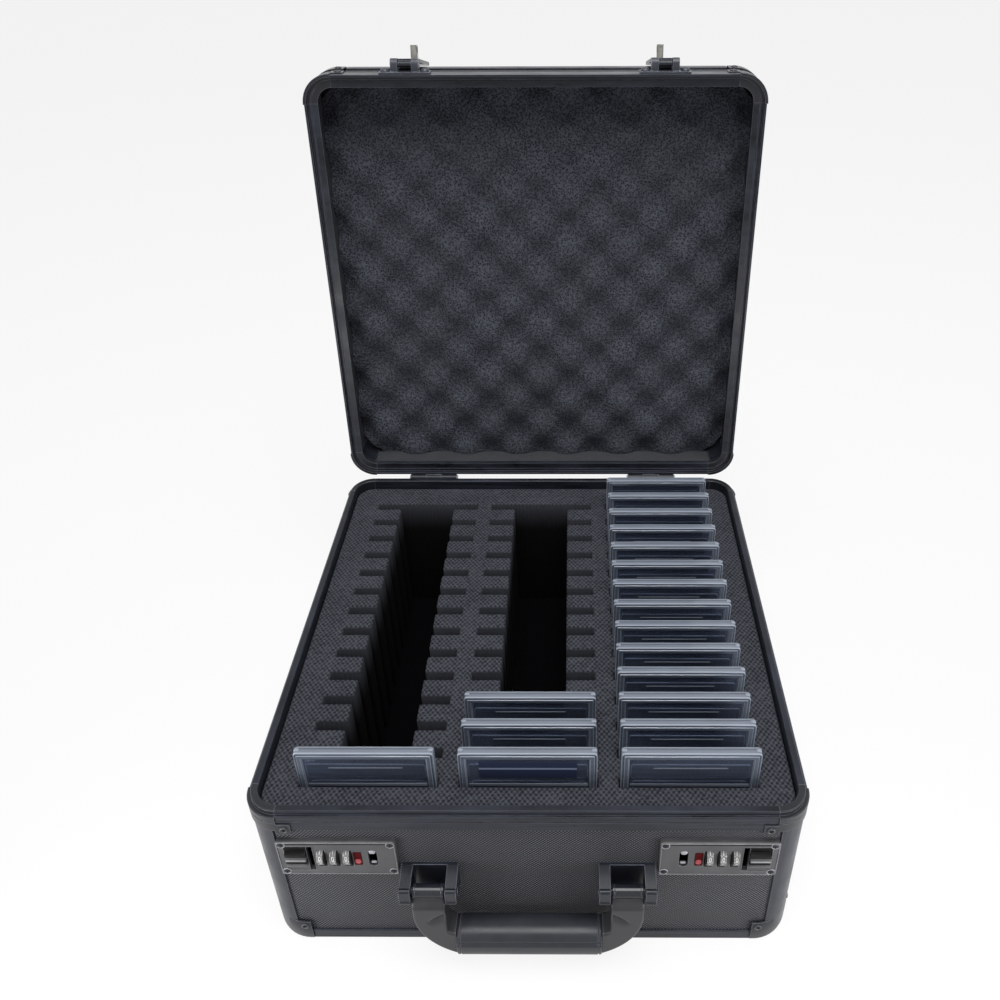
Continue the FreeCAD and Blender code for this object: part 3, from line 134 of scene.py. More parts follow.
class Finish:
    """A procedural finish, built up in layers round one shader."""

    def __init__(self, name, rough=0.5, metal=0.0, fixed=()):
        self.material = bpy.data.materials.new(name)
        self.material.use_nodes = True
        self.tree = self.material.node_tree
        self.shader = self.tree.nodes["Principled BSDF"]
        self.shader.inputs["Roughness"].default_value = rough
        self.shader.inputs["Metallic"].default_value = metal
        for socket, value in dict(fixed).items():
            self.shader.inputs[socket].default_value = value
        self.places = self.add("ShaderNodeTexCoord")
        self.here = self.places.outputs["Object"]
        self.relief = None

    def add(self, kind, inputs=(), **settings):
        """A node with its settings, and its inputs given as values or as other nodes' sockets."""
        node = self.tree.nodes.new(kind)
        for key, value in settings.items():
            setattr(node, key, value)
        for key, value in dict(inputs).items():
            if isinstance(value, bpy.types.NodeSocket):
                self.tree.links.new(value, node.inputs[key])
            else:
                node.inputs[key].default_value = value
        return node

    def maths(self, operation, a, b=None, c=None):
        """A Math node's result for one, two or three values."""
        inputs = {n: v for n, v in enumerate((a, b, c)) if v is not None}
        return self.add("ShaderNodeMath", inputs, operation=operation).outputs[0]

    def scaled(self, size):
        """The piece's coordinates divided by a size, or by a size along each axis."""
        sizes = size if isinstance(size, tuple) else (size,) * 3
        scale = tuple(1 / s for s in sizes)
        return self.add("ShaderNodeMapping", {"Vector": self.here, "Scale": scale}).outputs[0]

    def noise(self, size, detail=3, rough=0.55):
        """Cloudy noise whose blobs are about a size across, or a size along each axis."""
        where = self.scaled(size)
        return self.add("ShaderNodeTexNoise", {"Vector": where, "Scale": 1.0, "Detail": detail,
                                               "Roughness": rough}).outputs["Fac"]

    def cells(self, size):
        """Distance to the nearest of scattered points that are about a size apart."""
        where = self.scaled(size)
        return self.add("ShaderNodeTexVoronoi", {"Vector": where, "Scale": 1.0}).outputs["Distance"]

    def ramp(self, value, low, high, start=0.0, end=1.0):
        """A value carried from one range to another."""
        return self.add("ShaderNodeMapRange", {"Value": value, "From Min": low, "From Max": high,
                                               "To Min": start, "To Max": end}).outputs[0]

    def blend(self, share, one, two):
        """A colour between two others."""
        node = self.add("ShaderNodeMix", data_type="RGBA")
        for key, value in (("Factor", share), ("A", one), ("B", two)):
            socket = [s for s in node.inputs if s.name == key and s.enabled][0]
            if isinstance(value, bpy.types.NodeSocket):
                self.tree.links.new(value, socket)
            else:
                socket.default_value = value if key == "Factor" else (*value, 1.0)[:4]
        return [s for s in node.outputs if s.enabled][0]

    def edges(self, radius):
        """How far a spot is round a corner: 0 on flat faces, 1 where faces meet."""
        soft = self.add("ShaderNodeBevel", {"Radius": radius}, samples=6)
        flat = self.add("ShaderNodeNewGeometry").outputs["Normal"]
        dot = self.add("ShaderNodeVectorMath", {0: soft.outputs[0], 1: flat},
                       operation="DOT_PRODUCT").outputs["Value"]
        return self.ramp(dot, 0.98, 0.8)

    def faced(self):
        """Flat coordinates on each face: across it and up it, chosen by where the face looks."""
        look = self.add("ShaderNodeSeparateXYZ", {0: self.places.outputs["Normal"]}).outputs
        at = self.add("ShaderNodeSeparateXYZ", {0: self.here}).outputs
        sideways = self.maths("GREATER_THAN", self.maths("ABSOLUTE", look["X"]), 0.7)
        flat = self.maths("GREATER_THAN", self.maths("ABSOLUTE", look["Z"]), 0.7)
        across = self.add("ShaderNodeMix", {0: sideways, 2: at["X"], 3: at["Y"]}).outputs[0]
        up = self.add("ShaderNodeMix", {0: flat, 2: at["Z"], 3: at["Y"]}).outputs[0]
        return across, up

    def paint(self, colour):
        """Lay a socket's colour on the shader."""
        self.tree.links.new(colour, self.shader.inputs["Base Color"])

    def sheen_of(self, rough):
        """Let a socket say how rough the surface is."""
        self.tree.links.new(rough, self.shader.inputs["Roughness"])

    def raise_by(self, height, depth, soft_edge=None):
        """Relief: a 0 to 1 height times a depth, on top of the relief there already."""
        inputs = {"Height": height, "Distance": depth, "Strength": 1.0}
        if self.relief is None and soft_edge:
            self.relief = self.add("ShaderNodeBevel", {"Radius": soft_edge}, samples=6).outputs[0]
        if self.relief is not None:
            inputs["Normal"] = self.relief
        self.relief = self.add("ShaderNodeBump", inputs).outputs[0]
        self.tree.links.new(self.relief, self.shader.inputs["Normal"])


def grey(level, cool=0.0):
    """A near-black grey, bluer the cooler it is and browner below zero."""
    return (level * (1 - 0.72 * cool), level * (1 - 0.36 * cool), level * (1 + 1.08 * cool))


def coated(name, level, rough, cool=0.1, gloss=0.35, metal=0.0, grain=0.25 * MM, depth=0.012 * MM,
           soft=0.35 * MM, worn=0.6, streak=None, patch=18 * MM, rim=None):
    """A coated metal or moulded plastic: patchy tone, fine grain, and edges painted lighter, partly
    as wear and partly as a painted highlight, or painted in a colour given as the rim, such as a dark painted
    shade."""
    skin = Finish(name, metal=metal, fixed={"Specular IOR Level": gloss})
    cloud = skin.noise(patch, 4)
    base = skin.blend(skin.ramp(cloud, 0.3, 0.7), grey(level * 0.75, cool), grey(level * 1.25, cool))
    fine = skin.noise(grain, 2)
    if streak:
        fine = skin.noise(streak, 3, 0.7)
        base = skin.blend(skin.ramp(fine, 0.3, 0.7), grey(level * 0.2, cool), grey(level * 2.6, cool))
    # Edges are painted lighter, partly wear and partly a painted highlight, as much as worn says; a rim
    # colour paints them as given instead
    edge = skin.maths("MULTIPLY", skin.edges(2.2 * soft), skin.ramp(skin.noise(6 * MM, 5), 0.3, 0.6, 0.5, 1))
    base = skin.blend(skin.maths("MULTIPLY", edge, worn), base, rim or grey(level * 3 + 0.16, cool * 0.6))
    skin.paint(base)
    dull = skin.maths("ADD", skin.ramp(cloud, 0.3, 0.7, rough - 0.06, rough + 0.06),
                      skin.ramp(fine, 0.3, 0.7, -0.06, 0.06))
    skin.sheen_of(skin.maths("SUBTRACT", dull, skin.maths("MULTIPLY", edge, 0.1)))
    skin.raise_by(fine, depth, soft)
    return skin.material


def laminate():
    """Black laminate embossed with a fine slanting grain: crowns where two sets of ribs cross, one
    set stronger, from powers of two sines, smoother than the hollows, with a painted highlight on the crowns
    and painted shade in the hollows."""
    skin = Finish("embossed_laminate", fixed={"Specular IOR Level": 0.25})
    across, up = skin.faced()
    turns = math.pi / (2.2 * MM)
    one = skin.maths("SINE", skin.maths("MULTIPLY", skin.maths("ADD", across, up), turns))
    two = skin.maths("SINE", skin.maths("MULTIPLY", skin.maths("SUBTRACT", across, up), turns))
    stud = skin.maths("MULTIPLY", skin.maths("POWER", skin.maths("ABSOLUTE", one), 0.5),
                      skin.maths("POWER", skin.maths("ABSOLUTE", two), 1.2))
    cloud = skin.ramp(skin.noise(25 * MM, 4), 0.3, 0.7)
    # Painted light: the crowns are painted lighter, as painted highlight, and the hollows darker, as painted
    # shade
    tone = skin.blend(skin.ramp(stud, 0.25, 0.95), grey(0.001, 0.15), grey(0.19, 0.08))
    tone = skin.blend(skin.maths("MULTIPLY", cloud, 0.2), tone, grey(0.035, 0.0))
    skin.paint(tone)
    skin.sheen_of(skin.ramp(stud, 0, 1, 0.7, 0.42))
    skin.raise_by(skin.noise(0.3 * MM, 2), 0.02 * MM)
    skin.raise_by(stud, 0.3 * MM)
    return skin.material


GRAIN_X, GRAIN_Y, GRAIN_DEEP = 3.2 * MM, 4.2 * MM, 0.6 * MM
TRAY_TOP = 122 * MM


def tray_foam():
    """Closed-cell foam: a charcoal skin whose pressed grain has a painted highlight on its crowns and
    painted shade in its hollows, and darker, smoother, pitted walls where it was cut, with painted shade that
    darkens them towards the bottom."""
    skin = Finish("tray_foam", rough=0.8, fixed={"Specular IOR Level": 0.15})
    wander = skin.add("ShaderNodeTexNoise", {"Vector": skin.scaled(5 * MM), "Detail": 2.0})
    astray = skin.add("ShaderNodeVectorMath", {0: wander.outputs["Color"], 1: (0.5, 0.5, 0.5)},
                      operation="SUBTRACT").outputs[0]
    astray = skin.add("ShaderNodeVectorMath", {0: astray, 1: (1.6 * MM, 1.6 * MM, 0)},
                      operation="MULTIPLY").outputs[0]
    there = skin.add("ShaderNodeVectorMath", {0: skin.here, 1: astray}, operation="ADD").outputs[0]
    at = skin.add("ShaderNodeSeparateXYZ", {0: there}).outputs
    waves = [skin.maths("COSINE", skin.maths("MULTIPLY", at[axis], 2 * math.pi / length))
             for axis, length in (("X", GRAIN_X), ("Y", GRAIN_Y))]
    crown = skin.ramp(skin.maths("MULTIPLY", *waves), -0.8, 0.7)
    drift = skin.ramp(skin.noise((2.6 * MM, 1.2 * MM, 1.2 * MM), 3), 0.3, 0.7, -0.4, 0.4)
    drift = skin.maths("ADD", drift, skin.ramp(skin.noise(30 * MM, 2), 0.3, 0.7, -0.12, 0.12))
    # Painted light: the grain's crowns are painted lighter, as painted highlight, and its hollows darker, as
    # painted shade; drift varies the tone at random
    tone = skin.blend(skin.maths("ADD", crown, drift), grey(0.018, 0.2), grey(0.092, 0.14))
    skinned = skin.ramp(at["Z"], TRAY_TOP - 1.6 * MM, TRAY_TOP - 0.9 * MM)
    pits = skin.cells(0.6 * MM)
    cut = skin.blend(skin.ramp(pits, 0.1, 0.8), grey(0.05, 0.12), grey(0.085, 0.12))
    # Painted shade: the cut walls are painted darker the deeper they lie, down to near black at the bottom of
    # the slots
    deep = skin.ramp(at["Z"], TRAY_TOP - 30 * MM, TRAY_TOP - 4 * MM)
    cut = skin.blend(skin.maths("POWER", deep, 1.6), grey(0.001, 0.2), cut)
    skin.paint(skin.blend(skinned, cut, tone))
    skin.raise_by(skin.noise(0.35 * MM, 3), 0.1 * MM)
    skin.raise_by(crown, 0.3 * MM)
    return skin.material


def pad_foam():
    """Soft open-cell foam, finely pored, nearly black: its own dark colour, painted darker still as painted
    shade on the troughs' floors.
    """
    skin = Finish("pad_foam", rough=0.95, fixed={"Specular IOR Level": 0.05})
    pores = skin.cells(0.9 * MM)
    # Painted shade: the pad's tone is set near black so that the troughs' floors read as shaded
    skin.paint(skin.blend(skin.ramp(pores, 0.1, 0.8), grey(0.0008, 0.2), grey(0.003, 0.2)))
    skin.raise_by(pores, 0.3 * MM)
    return skin.material


def lid_foam_finish():
    """Open-cell foam: bluish charcoal with dark pores and lighter struts between them."""
    skin = Finish("convoluted_foam", rough=0.95, fixed={"Specular IOR Level": 0.15})
    pores = skin.cells(1.5 * MM)
    small = skin.noise(0.9 * MM, 3)
    cloud = skin.ramp(skin.noise(45 * MM, 3), 0.35, 0.65)
    strut = skin.ramp(skin.maths("ADD", pores, skin.maths("MULTIPLY", small, 0.8)), 0.5, 1.1)
    tone = skin.blend(strut, grey(0.008, 0.3), grey(0.11, 0.16))
    tone = skin.blend(skin.maths("MULTIPLY", cloud, 0.25), tone, grey(0.04, 0.04))
    skin.paint(tone)
    skin.raise_by(small, 0.6 * MM)
    skin.raise_by(pores, 0.7 * MM)
    return skin.material


def clear(name, dim, bright, through):
    """Clear acrylic, a little blue, hazed by handling, with a painted highlight on the edges marked in
    the piece's own attribute."""
    skin = Finish(name, fixed={"Transmission Weight": through, "IOR": 1.47})
    smear = skin.noise((30 * MM, 30 * MM, 1.5 * MM), 4)
    lit = skin.add("ShaderNodeAttribute", attribute_name="painted_edge_highlight").outputs["Fac"]
    haze = skin.blend(skin.ramp(smear, 0.3, 0.7), [0.75 * c for c in dim], [1.25 * c for c in dim])
    # Painted highlight: the marked edges take the bright colour
    skin.paint(skin.blend(lit, haze, bright))
    skin.sheen_of(skin.ramp(smear, 0.35, 0.7, 0.06, 0.2))
    skin.raise_by(skin.noise(3 * MM, 2), 0.01 * MM)
    return skin.material


def enamel(name, one, two, rough, gloss=0.5):
    """Bright moulded plastic with a faintly mottled tone."""
    skin = Finish(name, fixed={"Specular IOR Level": gloss})
    skin.paint(skin.blend(skin.ramp(skin.noise(1.5 * MM, 3), 0.3, 0.7), one, two))
    skin.sheen_of(skin.ramp(skin.noise(0.8 * MM, 2), 0.3, 0.7, rough - 0.06, rough + 0.06))
    skin.raise_by(skin.noise(0.2 * MM, 2), 0.008 * MM, 0.25 * MM)
    return skin.material


def label_card():
    """A plain printed card: dark blue with one pale band along it, and a faint paper fibre."""
    skin = Finish("label_card", rough=0.55, fixed={"Specular IOR Level": 0.3})
    up = skin.add("ShaderNodeSeparateXYZ", {0: skin.here}).outputs["Z"]
    fibre = skin.ramp(skin.noise(0.5 * MM, 3), 0.3, 0.7, 0.8, 1.2)
    band = skin.maths("COMPARE", up, LABEL_BAND, 0.8 * MM)
    tone = skin.blend(band, (0.012, 0.018, 0.05), (0.2, 0.24, 0.34))
    tone = skin.blend(skin.maths("MULTIPLY", fibre, 0.12), tone, (0.03, 0.035, 0.06))
    skin.paint(tone)
    skin.raise_by(skin.noise(0.3 * MM, 2), 0.02 * MM)
    return skin.material


LABEL_BAND = 136.5 * MM
LONG = 60 * MM
FINE = 1.1 * MM
ANODISED = dict(level=0.017, rough=0.33, cool=0.26, gloss=0.22, worn=0.7)
FINISHES = {
    "edge_metal": coated("edge_metal", streak=(LONG, LONG, FINE), **ANODISED),
    "post_metal": coated("post_metal", streak=(FINE, FINE, LONG), **ANODISED),
    "lid_metal": coated("lid_metal", streak=(LONG, FINE, LONG), **ANODISED),
    "corner_metal": coated("corner_metal", 0.02, 0.34, cool=0.16, gloss=0.3, worn=0.9, depth=0.015 * MM),
    "fastener": coated("fastener", 0.05, 0.3, worn=0.9, patch=2 * MM),
    "panel": laminate(),
    "foam": tray_foam(),
    "pad": pad_foam(),
    "lid_foam": lid_foam_finish(),
    "lock_plastic": coated("lock_plastic", 0.08, 0.36, cool=0.04, grain=0.2 * MM, worn=0.7),
    "bright_plastic": coated("bright_plastic", 0.26, 0.3, cool=0.04, grain=0.2 * MM, worn=0.7),
    # The bead's lighter tone is a painted highlight round the lock plate
    "bead": coated("lock_bead", 0.12, 0.3, cool=0.04, grain=0.2 * MM, worn=0.9),
    "lock_case": coated("lock_case", 0.002, 0.5, gloss=0.15, worn=0.0),
    "marker": enamel("marker_red", (0.05, 0.0, 0.001), (0.09, 0.001, 0.002), 0.7, 0.1),
    "button": enamel("button_red", (0.4, 0.045, 0.06), (0.5, 0.09, 0.1), 0.4, 0.3),
    "hardware": coated("hardware", 0.016, 0.32, cool=0.3, gloss=0.3, worn=1.0, soft=0.5 * MM),
    "hasp_metal": coated("hasp_metal", 0.05, 0.32, cool=0.22, gloss=0.35, worn=0.8, soft=0.4 * MM),
    "barrel": coated("pivot_barrel", 0.016, 0.16, cool=0.25, gloss=0.4, worn=0.5),
    # The bright steel's dark rim colour is painted shade along its edges, round a lighter middle
    "steel": coated("bright_steel", 0.24, 0.3, cool=-0.06, metal=0.9, worn=0.95, patch=3 * MM,
                    soft=0.7 * MM, rim=(0.03, 0.03, 0.022)),
    "numeral": enamel("numeral_white", (0.8, 0.8, 0.78), (0.9, 0.9, 0.88), 0.35),
    "label": label_card(),
    "handle_plastic": coated("handle_plastic", 0.03, 0.42, cool=0.08, grain=0.4 * MM, depth=0.03 * MM,
                             soft=0.6 * MM, worn=0.5),
    "grip": coated("grip", 0.026, 0.38, cool=0.18, grain=0.4 * MM, depth=0.03 * MM, soft=0.5 * MM),
    "dial": coated("dial_metal", 0.2, 0.3, cool=0.0, metal=0.5, worn=0.7, grain=0.12 * MM),
    "catch": coated("catch_metal", 0.5, 0.3, cool=0.05, metal=0.2, worn=0.5),
    "clear_plastic": clear("clear_acrylic", (0.12, 0.15, 0.22), (0.5, 0.56, 0.68), 0.6),
    "acrylic_rim": clear("acrylic_rim", (0.12, 0.15, 0.2), (0.72, 0.79, 0.92), 0.4),
    "acrylic_window": clear("acrylic_window", (0.13, 0.165, 0.26), (0.75, 0.82, 0.95), 0.76),
}
for name, shape in nodes.items():
    key = slot_of[name]
    if key == "edge_metal":
        key = "post_metal" if name == "base_posts" else "lid_metal" if name.startswith("lid") else key
    if name == "hasp_brackets":
        key = "hasp_metal"
    shape.data.materials.clear()
    shape.data.materials.append(FINISHES[key])

# Foam blocks: a top surface over a net of lines, walls down to a flat underside

def net(stops, step, shift=0.0):
    """Lines at every stop, and at even steps between them, counted from a shift."""
    stops = np.unique(np.round(stops, 9))
    even = np.arange(math.ceil((stops[0] - shift) / step), (stops[-1] - shift) / step) * step + shift
    away = np.abs(even[:, None] - stops[None, :]).min(1) > 0.35 * step
    return np.sort(np.concatenate([stops, even[away]]))


def eased(x, y, corner_x, corner_y, way_x, way_y, radius, power):
    """Round off one corner of the net.

    Within a square as large as the radius, each L-shaped run of points about the corner of the
    square that is farthest in is drawn onto a quarter circle (power 2) or a straight cut (power 1):
    its distances from there are scaled by their largest over their power-norm.
    """
    a = radius - way_x * (x - corner_x)
    b = radius - way_y * (y - corner_y)
    near = (a > 0) & (b > 0) & (a <= radius * 1.0001) & (b <= radius * 1.0001)
    scale = np.maximum(a, b) / np.maximum((np.abs(a) ** power + np.abs(b) ** power) ** (1 / power), 1e-12)
    scale = np.where(near, scale, 1.0)
    a, b = a * scale, b * scale
    return (np.where(near, corner_x + way_x * (radius - a), x),
            np.where(near, corner_y + way_y * (radius - b), y))


def block(lines_x, lines_y, holes, corners, surface, low):
    """A block of foam over a net of lines, with straight holes cut right through it.

    The top is surface(x, y, gap), where gap is the distance to the nearest hole or side, walls
    run straight down from the net's border, and the flat underside has the same net.
    """
    flat_x, flat_y = np.meshgrid(lines_x, lines_y, indexing="ij")
    gap = np.minimum.reduce([flat_x - lines_x[0], lines_x[-1] - flat_x,
                             flat_y - lines_y[0], lines_y[-1] - flat_y])
    middle_x = (lines_x[1:] + lines_x[:-1])[:, None] / 2
    middle_y = (lines_y[1:] + lines_y[:-1])[None, :] / 2
    solid = np.ones((len(lines_x) - 1, len(lines_y) - 1), bool)
    for (x0, y0), (x1, y1) in holes:
        outside = np.hypot(np.maximum(np.maximum(x0 - flat_x, flat_x - x1), 0),
                           np.maximum(np.maximum(y0 - flat_y, flat_y - y1), 0))
        gap = np.minimum(gap, outside)
        solid &= ~((middle_x > x0) & (middle_x < x1) & (middle_y > y0) & (middle_y < y1))
    x, y = flat_x, flat_y
    for corner in corners:
        x, y = eased(x, y, *corner)
    top = np.stack([x, y, surface(x, y, gap)], -1)
    foot = np.stack([x, y, np.full_like(x, low)], -1)
    points = np.concatenate([top.reshape(-1, 3), foot.reshape(-1, 3)])
    number = np.arange(x.size).reshape(x.shape)
    under = number + x.size
    faces = [np.stack([number[:-1, :-1], number[1:, :-1], number[1:, 1:], number[:-1, 1:]], -1)[solid]]
    padded = np.pad(solid, 1)
    for way in (1, -1):
        i, j = np.nonzero((padded[:-1, 1:-1].astype(int) - padded[1:, 1:-1]) == way)
        wall = np.stack([number[i, j], under[i, j], under[i, j + 1], number[i, j + 1]], -1)
        faces.append(wall[:, ::way])
        i, j = np.nonzero((padded[1:-1, :-1].astype(int) - padded[1:-1, 1:]) == way)
        wall = np.stack([number[i, j], number[i + 1, j], under[i + 1, j], under[i, j]], -1)
        faces.append(wall[:, ::way])
    faces.append(np.stack([under[:-1, :-1], under[:-1, 1:], under[1:, 1:], under[1:, :-1]], -1)[solid])
    faces = [face for face in faces if len(face)]
    used = np.unique(np.concatenate([face.ravel() for face in faces]))
    renumber = np.zeros(len(points), np.int64)
    renumber[used] = np.arange(len(used))
    return points[used], [renumber[face] for face in faces]


TRAY_HALF, TRAY_LOW = 158.5 * MM, 14 * MM
TRAY_ROUND = 13.5 * MM
COLUMN_PITCH, SLOT_PITCH, SLOT_START = 96 * MM, 20.8 * MM, -141 * MM
SLOT_WIDE, SLOT_THICK, TROUGH_WIDE, SLOTS = 83.5 * MM, 7 * MM, 44 * MM, 14
EDGE = 2.0 * MM
TINY = 0.001 * MM
LOCK_POCKETS = ((77.9 * MM, 148.1 * MM), (73.0 * MM, 104.5 * MM), 7.2 * MM)


def pressed_grain(x, y, gap):
    """The tray's top: staggered rows of low bumps, as the product of two cosines, that fade out
    towards the cut edges, which drop away in a quarter circle."""
    bumps = np.cos(2 * math.pi * x / GRAIN_X) * np.cos(2 * math.pi * y / GRAIN_Y)
    fade = np.clip(gap / (2.2 * MM), 0, 1)
    inside = np.clip(EDGE - gap, 0, EDGE)
    return TRAY_TOP - GRAIN_DEEP * (0.5 - 0.5 * bumps) * fade - (EDGE - np.sqrt(EDGE ** 2 - inside ** 2))


def pocketed(points, faces):
    """The tray with its front wall hollowed behind the locks.

    Each wall quad in front of a pocket becomes a run of quads: up to the pocket, in along its
    floor, up its back, out along its ceiling and up to the top. The quads beside a pocket take its
    corners in, and two quads close its ends.
    """
    (near, far), (low, high), deep = LOCK_POCKETS
    walls = faces[-2]
    spots = points[walls]
    front = spots[..., 1].max(1) < -TRAY_HALF + 1 * MM
    reach = np.abs(spots[..., 0])
    inside = front & (reach.min(1) > near - TINY) & (reach.max(1) < far + TINY)
    first, last = reach[inside].min(), reach[inside].max()
    beside = front & ~inside & ((np.abs(reach.max(1) - first) < TINY) | (np.abs(reach.min(1) - last) < TINY))

    def column(foot, top):
        """The run of points up one side of each quad."""
        run = np.repeat(foot[:, None, :], 6, 1)
        run[:, 1:3, 2], run[:, 3:5, 2] = low, high
        run[:, 2:4, 1] = -TRAY_HALF + deep
        run[:, 5] = top
        return run

    quads = spots[inside]
    runs = np.stack([column(quads[:, 0], quads[:, 3]), column(quads[:, 1], quads[:, 2])], 1)
    steps = np.arange(5)
    one = np.stack([steps, steps + 6, steps + 7, steps + 1], -1)
    shells = [(runs.reshape(-1, 3), [(one[None] + 12 * np.arange(len(quads))[:, None, None]).reshape(-1, 4)])]
    for quad in spots[beside]:
        for edge, order in ((1, (0, 1, 4, 5, 2, 3)), (0, (0, 1, 2, 3, 5, 4))):
            if min(abs(abs(quad[edge, 0]) - first), abs(abs(quad[edge, 0]) - last)) < TINY:
                marks = np.repeat(quad[edge][None], 2, 0)
                marks[:, 2] = low, high
                shells.append((np.concatenate([quad, marks]), [np.array([order])]))
                rim = np.repeat(quad[edge][None], 4, 0)
                rim[:, 2] = low, low, high, high
                rim[1:3, 1] = -TRAY_HALF + deep
                shells.append((rim, [np.array([(0, 1, 2, 3) if edge else (3, 2, 1, 0)])]))
    kept = faces[:-2] + [walls[~inside & ~beside], faces[-1]]
    return joined([(points, kept)] + shells)


def tray():
    """The slotted foam tray: three columns of fourteen slots across open troughs."""
    offsets = np.array([0, 0.12, 0.4, 0.8]) * MM
    holes, corners = [], []
    stops_x = [-TRAY_HALF, TRAY_HALF, TRAY_ROUND - TRAY_HALF, TRAY_HALF - TRAY_ROUND]
    stops_y = list(stops_x)
    for side in (1, -1):
        stops_x += [side * LOCK_POCKETS[0][0], side * LOCK_POCKETS[0][1]]
        stops_x += list(side * (TRAY_HALF - offsets))
        stops_y += list(side * (TRAY_HALF - offsets))
    ends = [SLOT_START + SLOT_PITCH * k for k in range(SLOTS)]
    last = ends[-1] + SLOT_THICK
    for start in ends:
        stops_y += list(start - offsets) + list(start + SLOT_THICK + offsets)
    for column in (-1, 0, 1):
        middle = COLUMN_PITCH * column
        holes.append(((middle - TROUGH_WIDE / 2, SLOT_START), (middle + TROUGH_WIDE / 2, last)))
        for side in (-1, 1):
            stops_x += list(middle + side * (SLOT_WIDE / 2 + offsets))
            stops_x += list(middle + side * (TROUGH_WIDE / 2 + offsets))
            for start in ends:
                for edge, way in ((start, -1), (start + SLOT_THICK, 1)):
                    if SLOT_START < edge < last:
                        corners.append((middle + side * TROUGH_WIDE / 2, edge, side, way, 1.6 * MM, 2))
        for start in ends:
            holes.append(((middle - SLOT_WIDE / 2, start), (middle + SLOT_WIDE / 2, start + SLOT_THICK)))
    for side_x in (-1, 1):
        for side_y in (-1, 1):
            corners.append((side_x * TRAY_HALF, side_y * TRAY_HALF, -side_x, -side_y, TRAY_ROUND, 2))
    points, faces = block(net(stops_x, GRAIN_X / 4), net(stops_y, GRAIN_Y / 4), holes, corners,
                          pressed_grain, TRAY_LOW)
    return pocketed(points, faces)


def pad():
    """The soft pad under the tray: a flat slab with eased edges and a faint waviness."""
    offsets = np.array([0, 0.3, 0.8, 1.6]) * MM
    stops = [TRAY_ROUND - TRAY_HALF, TRAY_HALF - TRAY_ROUND]
    for side in (1, -1):
        stops += list(side * (TRAY_HALF - offsets))
    corners = [(side_x * TRAY_HALF, side_y * TRAY_HALF, -side_x, -side_y, TRAY_ROUND, 2)
               for side_x in (-1, 1) for side_y in (-1, 1)]

    def surface(x, y, gap):
        inside = np.clip(EDGE - gap, 0, EDGE)
        wave = 0.15 * MM * (1 + np.sin(x / (7 * MM)) * np.cos(y / (9 * MM)))
        return TRAY_LOW - 0.05 * MM - wave - (EDGE - np.sqrt(EDGE ** 2 - inside ** 2))

    return block(net(stops, 3 * MM), net(stops, 3 * MM), [], corners, surface, 4.5 * MM)


def convoluted():
    """The lid's foam: rounded peaks and hollows like the colours of a chessboard, as the product
    of two cosines, between straight-cut sides, over a flat back."""
    half, cut, back, wave, cells = 160.1 * MM, 16.7 * MM, 4 * MM, 7 * MM, 14
    pitch = 2 * half / cells
    corners = [(side_x * half, side_y * half, -side_x, -side_y, cut, 1)
               for side_x in (-1, 1) for side_y in (-1, 1)]

    def surface(x, y, gap):
        bumps = np.cos(math.pi * (x + half) / pitch) * np.cos(math.pi * (y + half) / pitch)
        bumps = np.sign(bumps) * np.abs(bumps) ** 0.85
        worn = 0.25 * MM * (np.sin(x / (2.1 * MM)) * np.sin(y / (2.7 * MM) + 2 * np.sin(x / (11 * MM))))
        return back + wave * (0.5 + 0.5 * bumps) * 0.965 + worn * np.clip(gap / (3 * MM), 0, 1)

    stops = [-half, half, cut - half, half - cut]
    points, faces = block(net(stops, 1.6 * MM, half), net(stops, 1.6 * MM, half), [], corners,
                          surface, 0.0)
    points[:, 2] = 163.4 * MM - points[:, 2]
    return opened(points), [face[:, ::-1] for face in faces]


for name, made, finish, body, slot, node in (
        ("foam_tray", tray(), "foam", "case", "foam", "card_tray"),
        ("foam_pad", pad(), "pad", "case", "foam", "tray_pad"),
        ("convoluted_foam", convoluted(), "lid_foam", "lid", "lid_foam", "lid_foam")):
    shape = piece(name, *made, FINISHES[finish], body, slot, crease=50, outward=False)
    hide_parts(node)


# Surfaces carried round outlines

def outline(half_wide, half_tall, radius, steps=5):
    """Points anticlockwise round a rectangle with quarter-circle corners, one row per size."""
    half_wide, half_tall, radius = (np.atleast_1d(v)[:, None] for v in
                                    np.broadcast_arrays(half_wide, half_tall, radius))
    quarter = np.tile(np.linspace(0, math.pi / 2, steps), 4) + np.repeat(np.arange(4), steps) * math.pi / 2
    side_x = np.repeat([1, -1, -1, 1], steps)
    side_y = np.repeat([1, 1, -1, -1], steps)
    return np.stack([side_x * (half_wide - radius) + radius * np.cos(quarter),
                     side_y * (half_tall - radius) + radius * np.sin(quarter)], -1)


def carried(half_wide, half_tall, radius, profile, steps=5):
    """A profile of (inset, depth) points carried round a rounded rectangle in the XZ plane.

    Depth is along Y. Each profile point's ring is the rectangle drawn in by its inset, with its
    corner radius smaller by as much, and flat caps close the first and the last ring.
    """
    inset, depth = np.array(profile).T
    rings = outline(half_wide - inset, half_tall - inset, np.maximum(radius - inset, 0.2 * MM), steps)
    rows, columns = rings.shape[:2]
    points = np.stack([rings[..., 0], np.repeat(depth[:, None], columns, 1), rings[..., 1]], -1)
    return points.reshape(-1, 3), capped(rows, columns)


HOLDER_WIDE, HOLDER_TALL = 82 * MM, 136 * MM


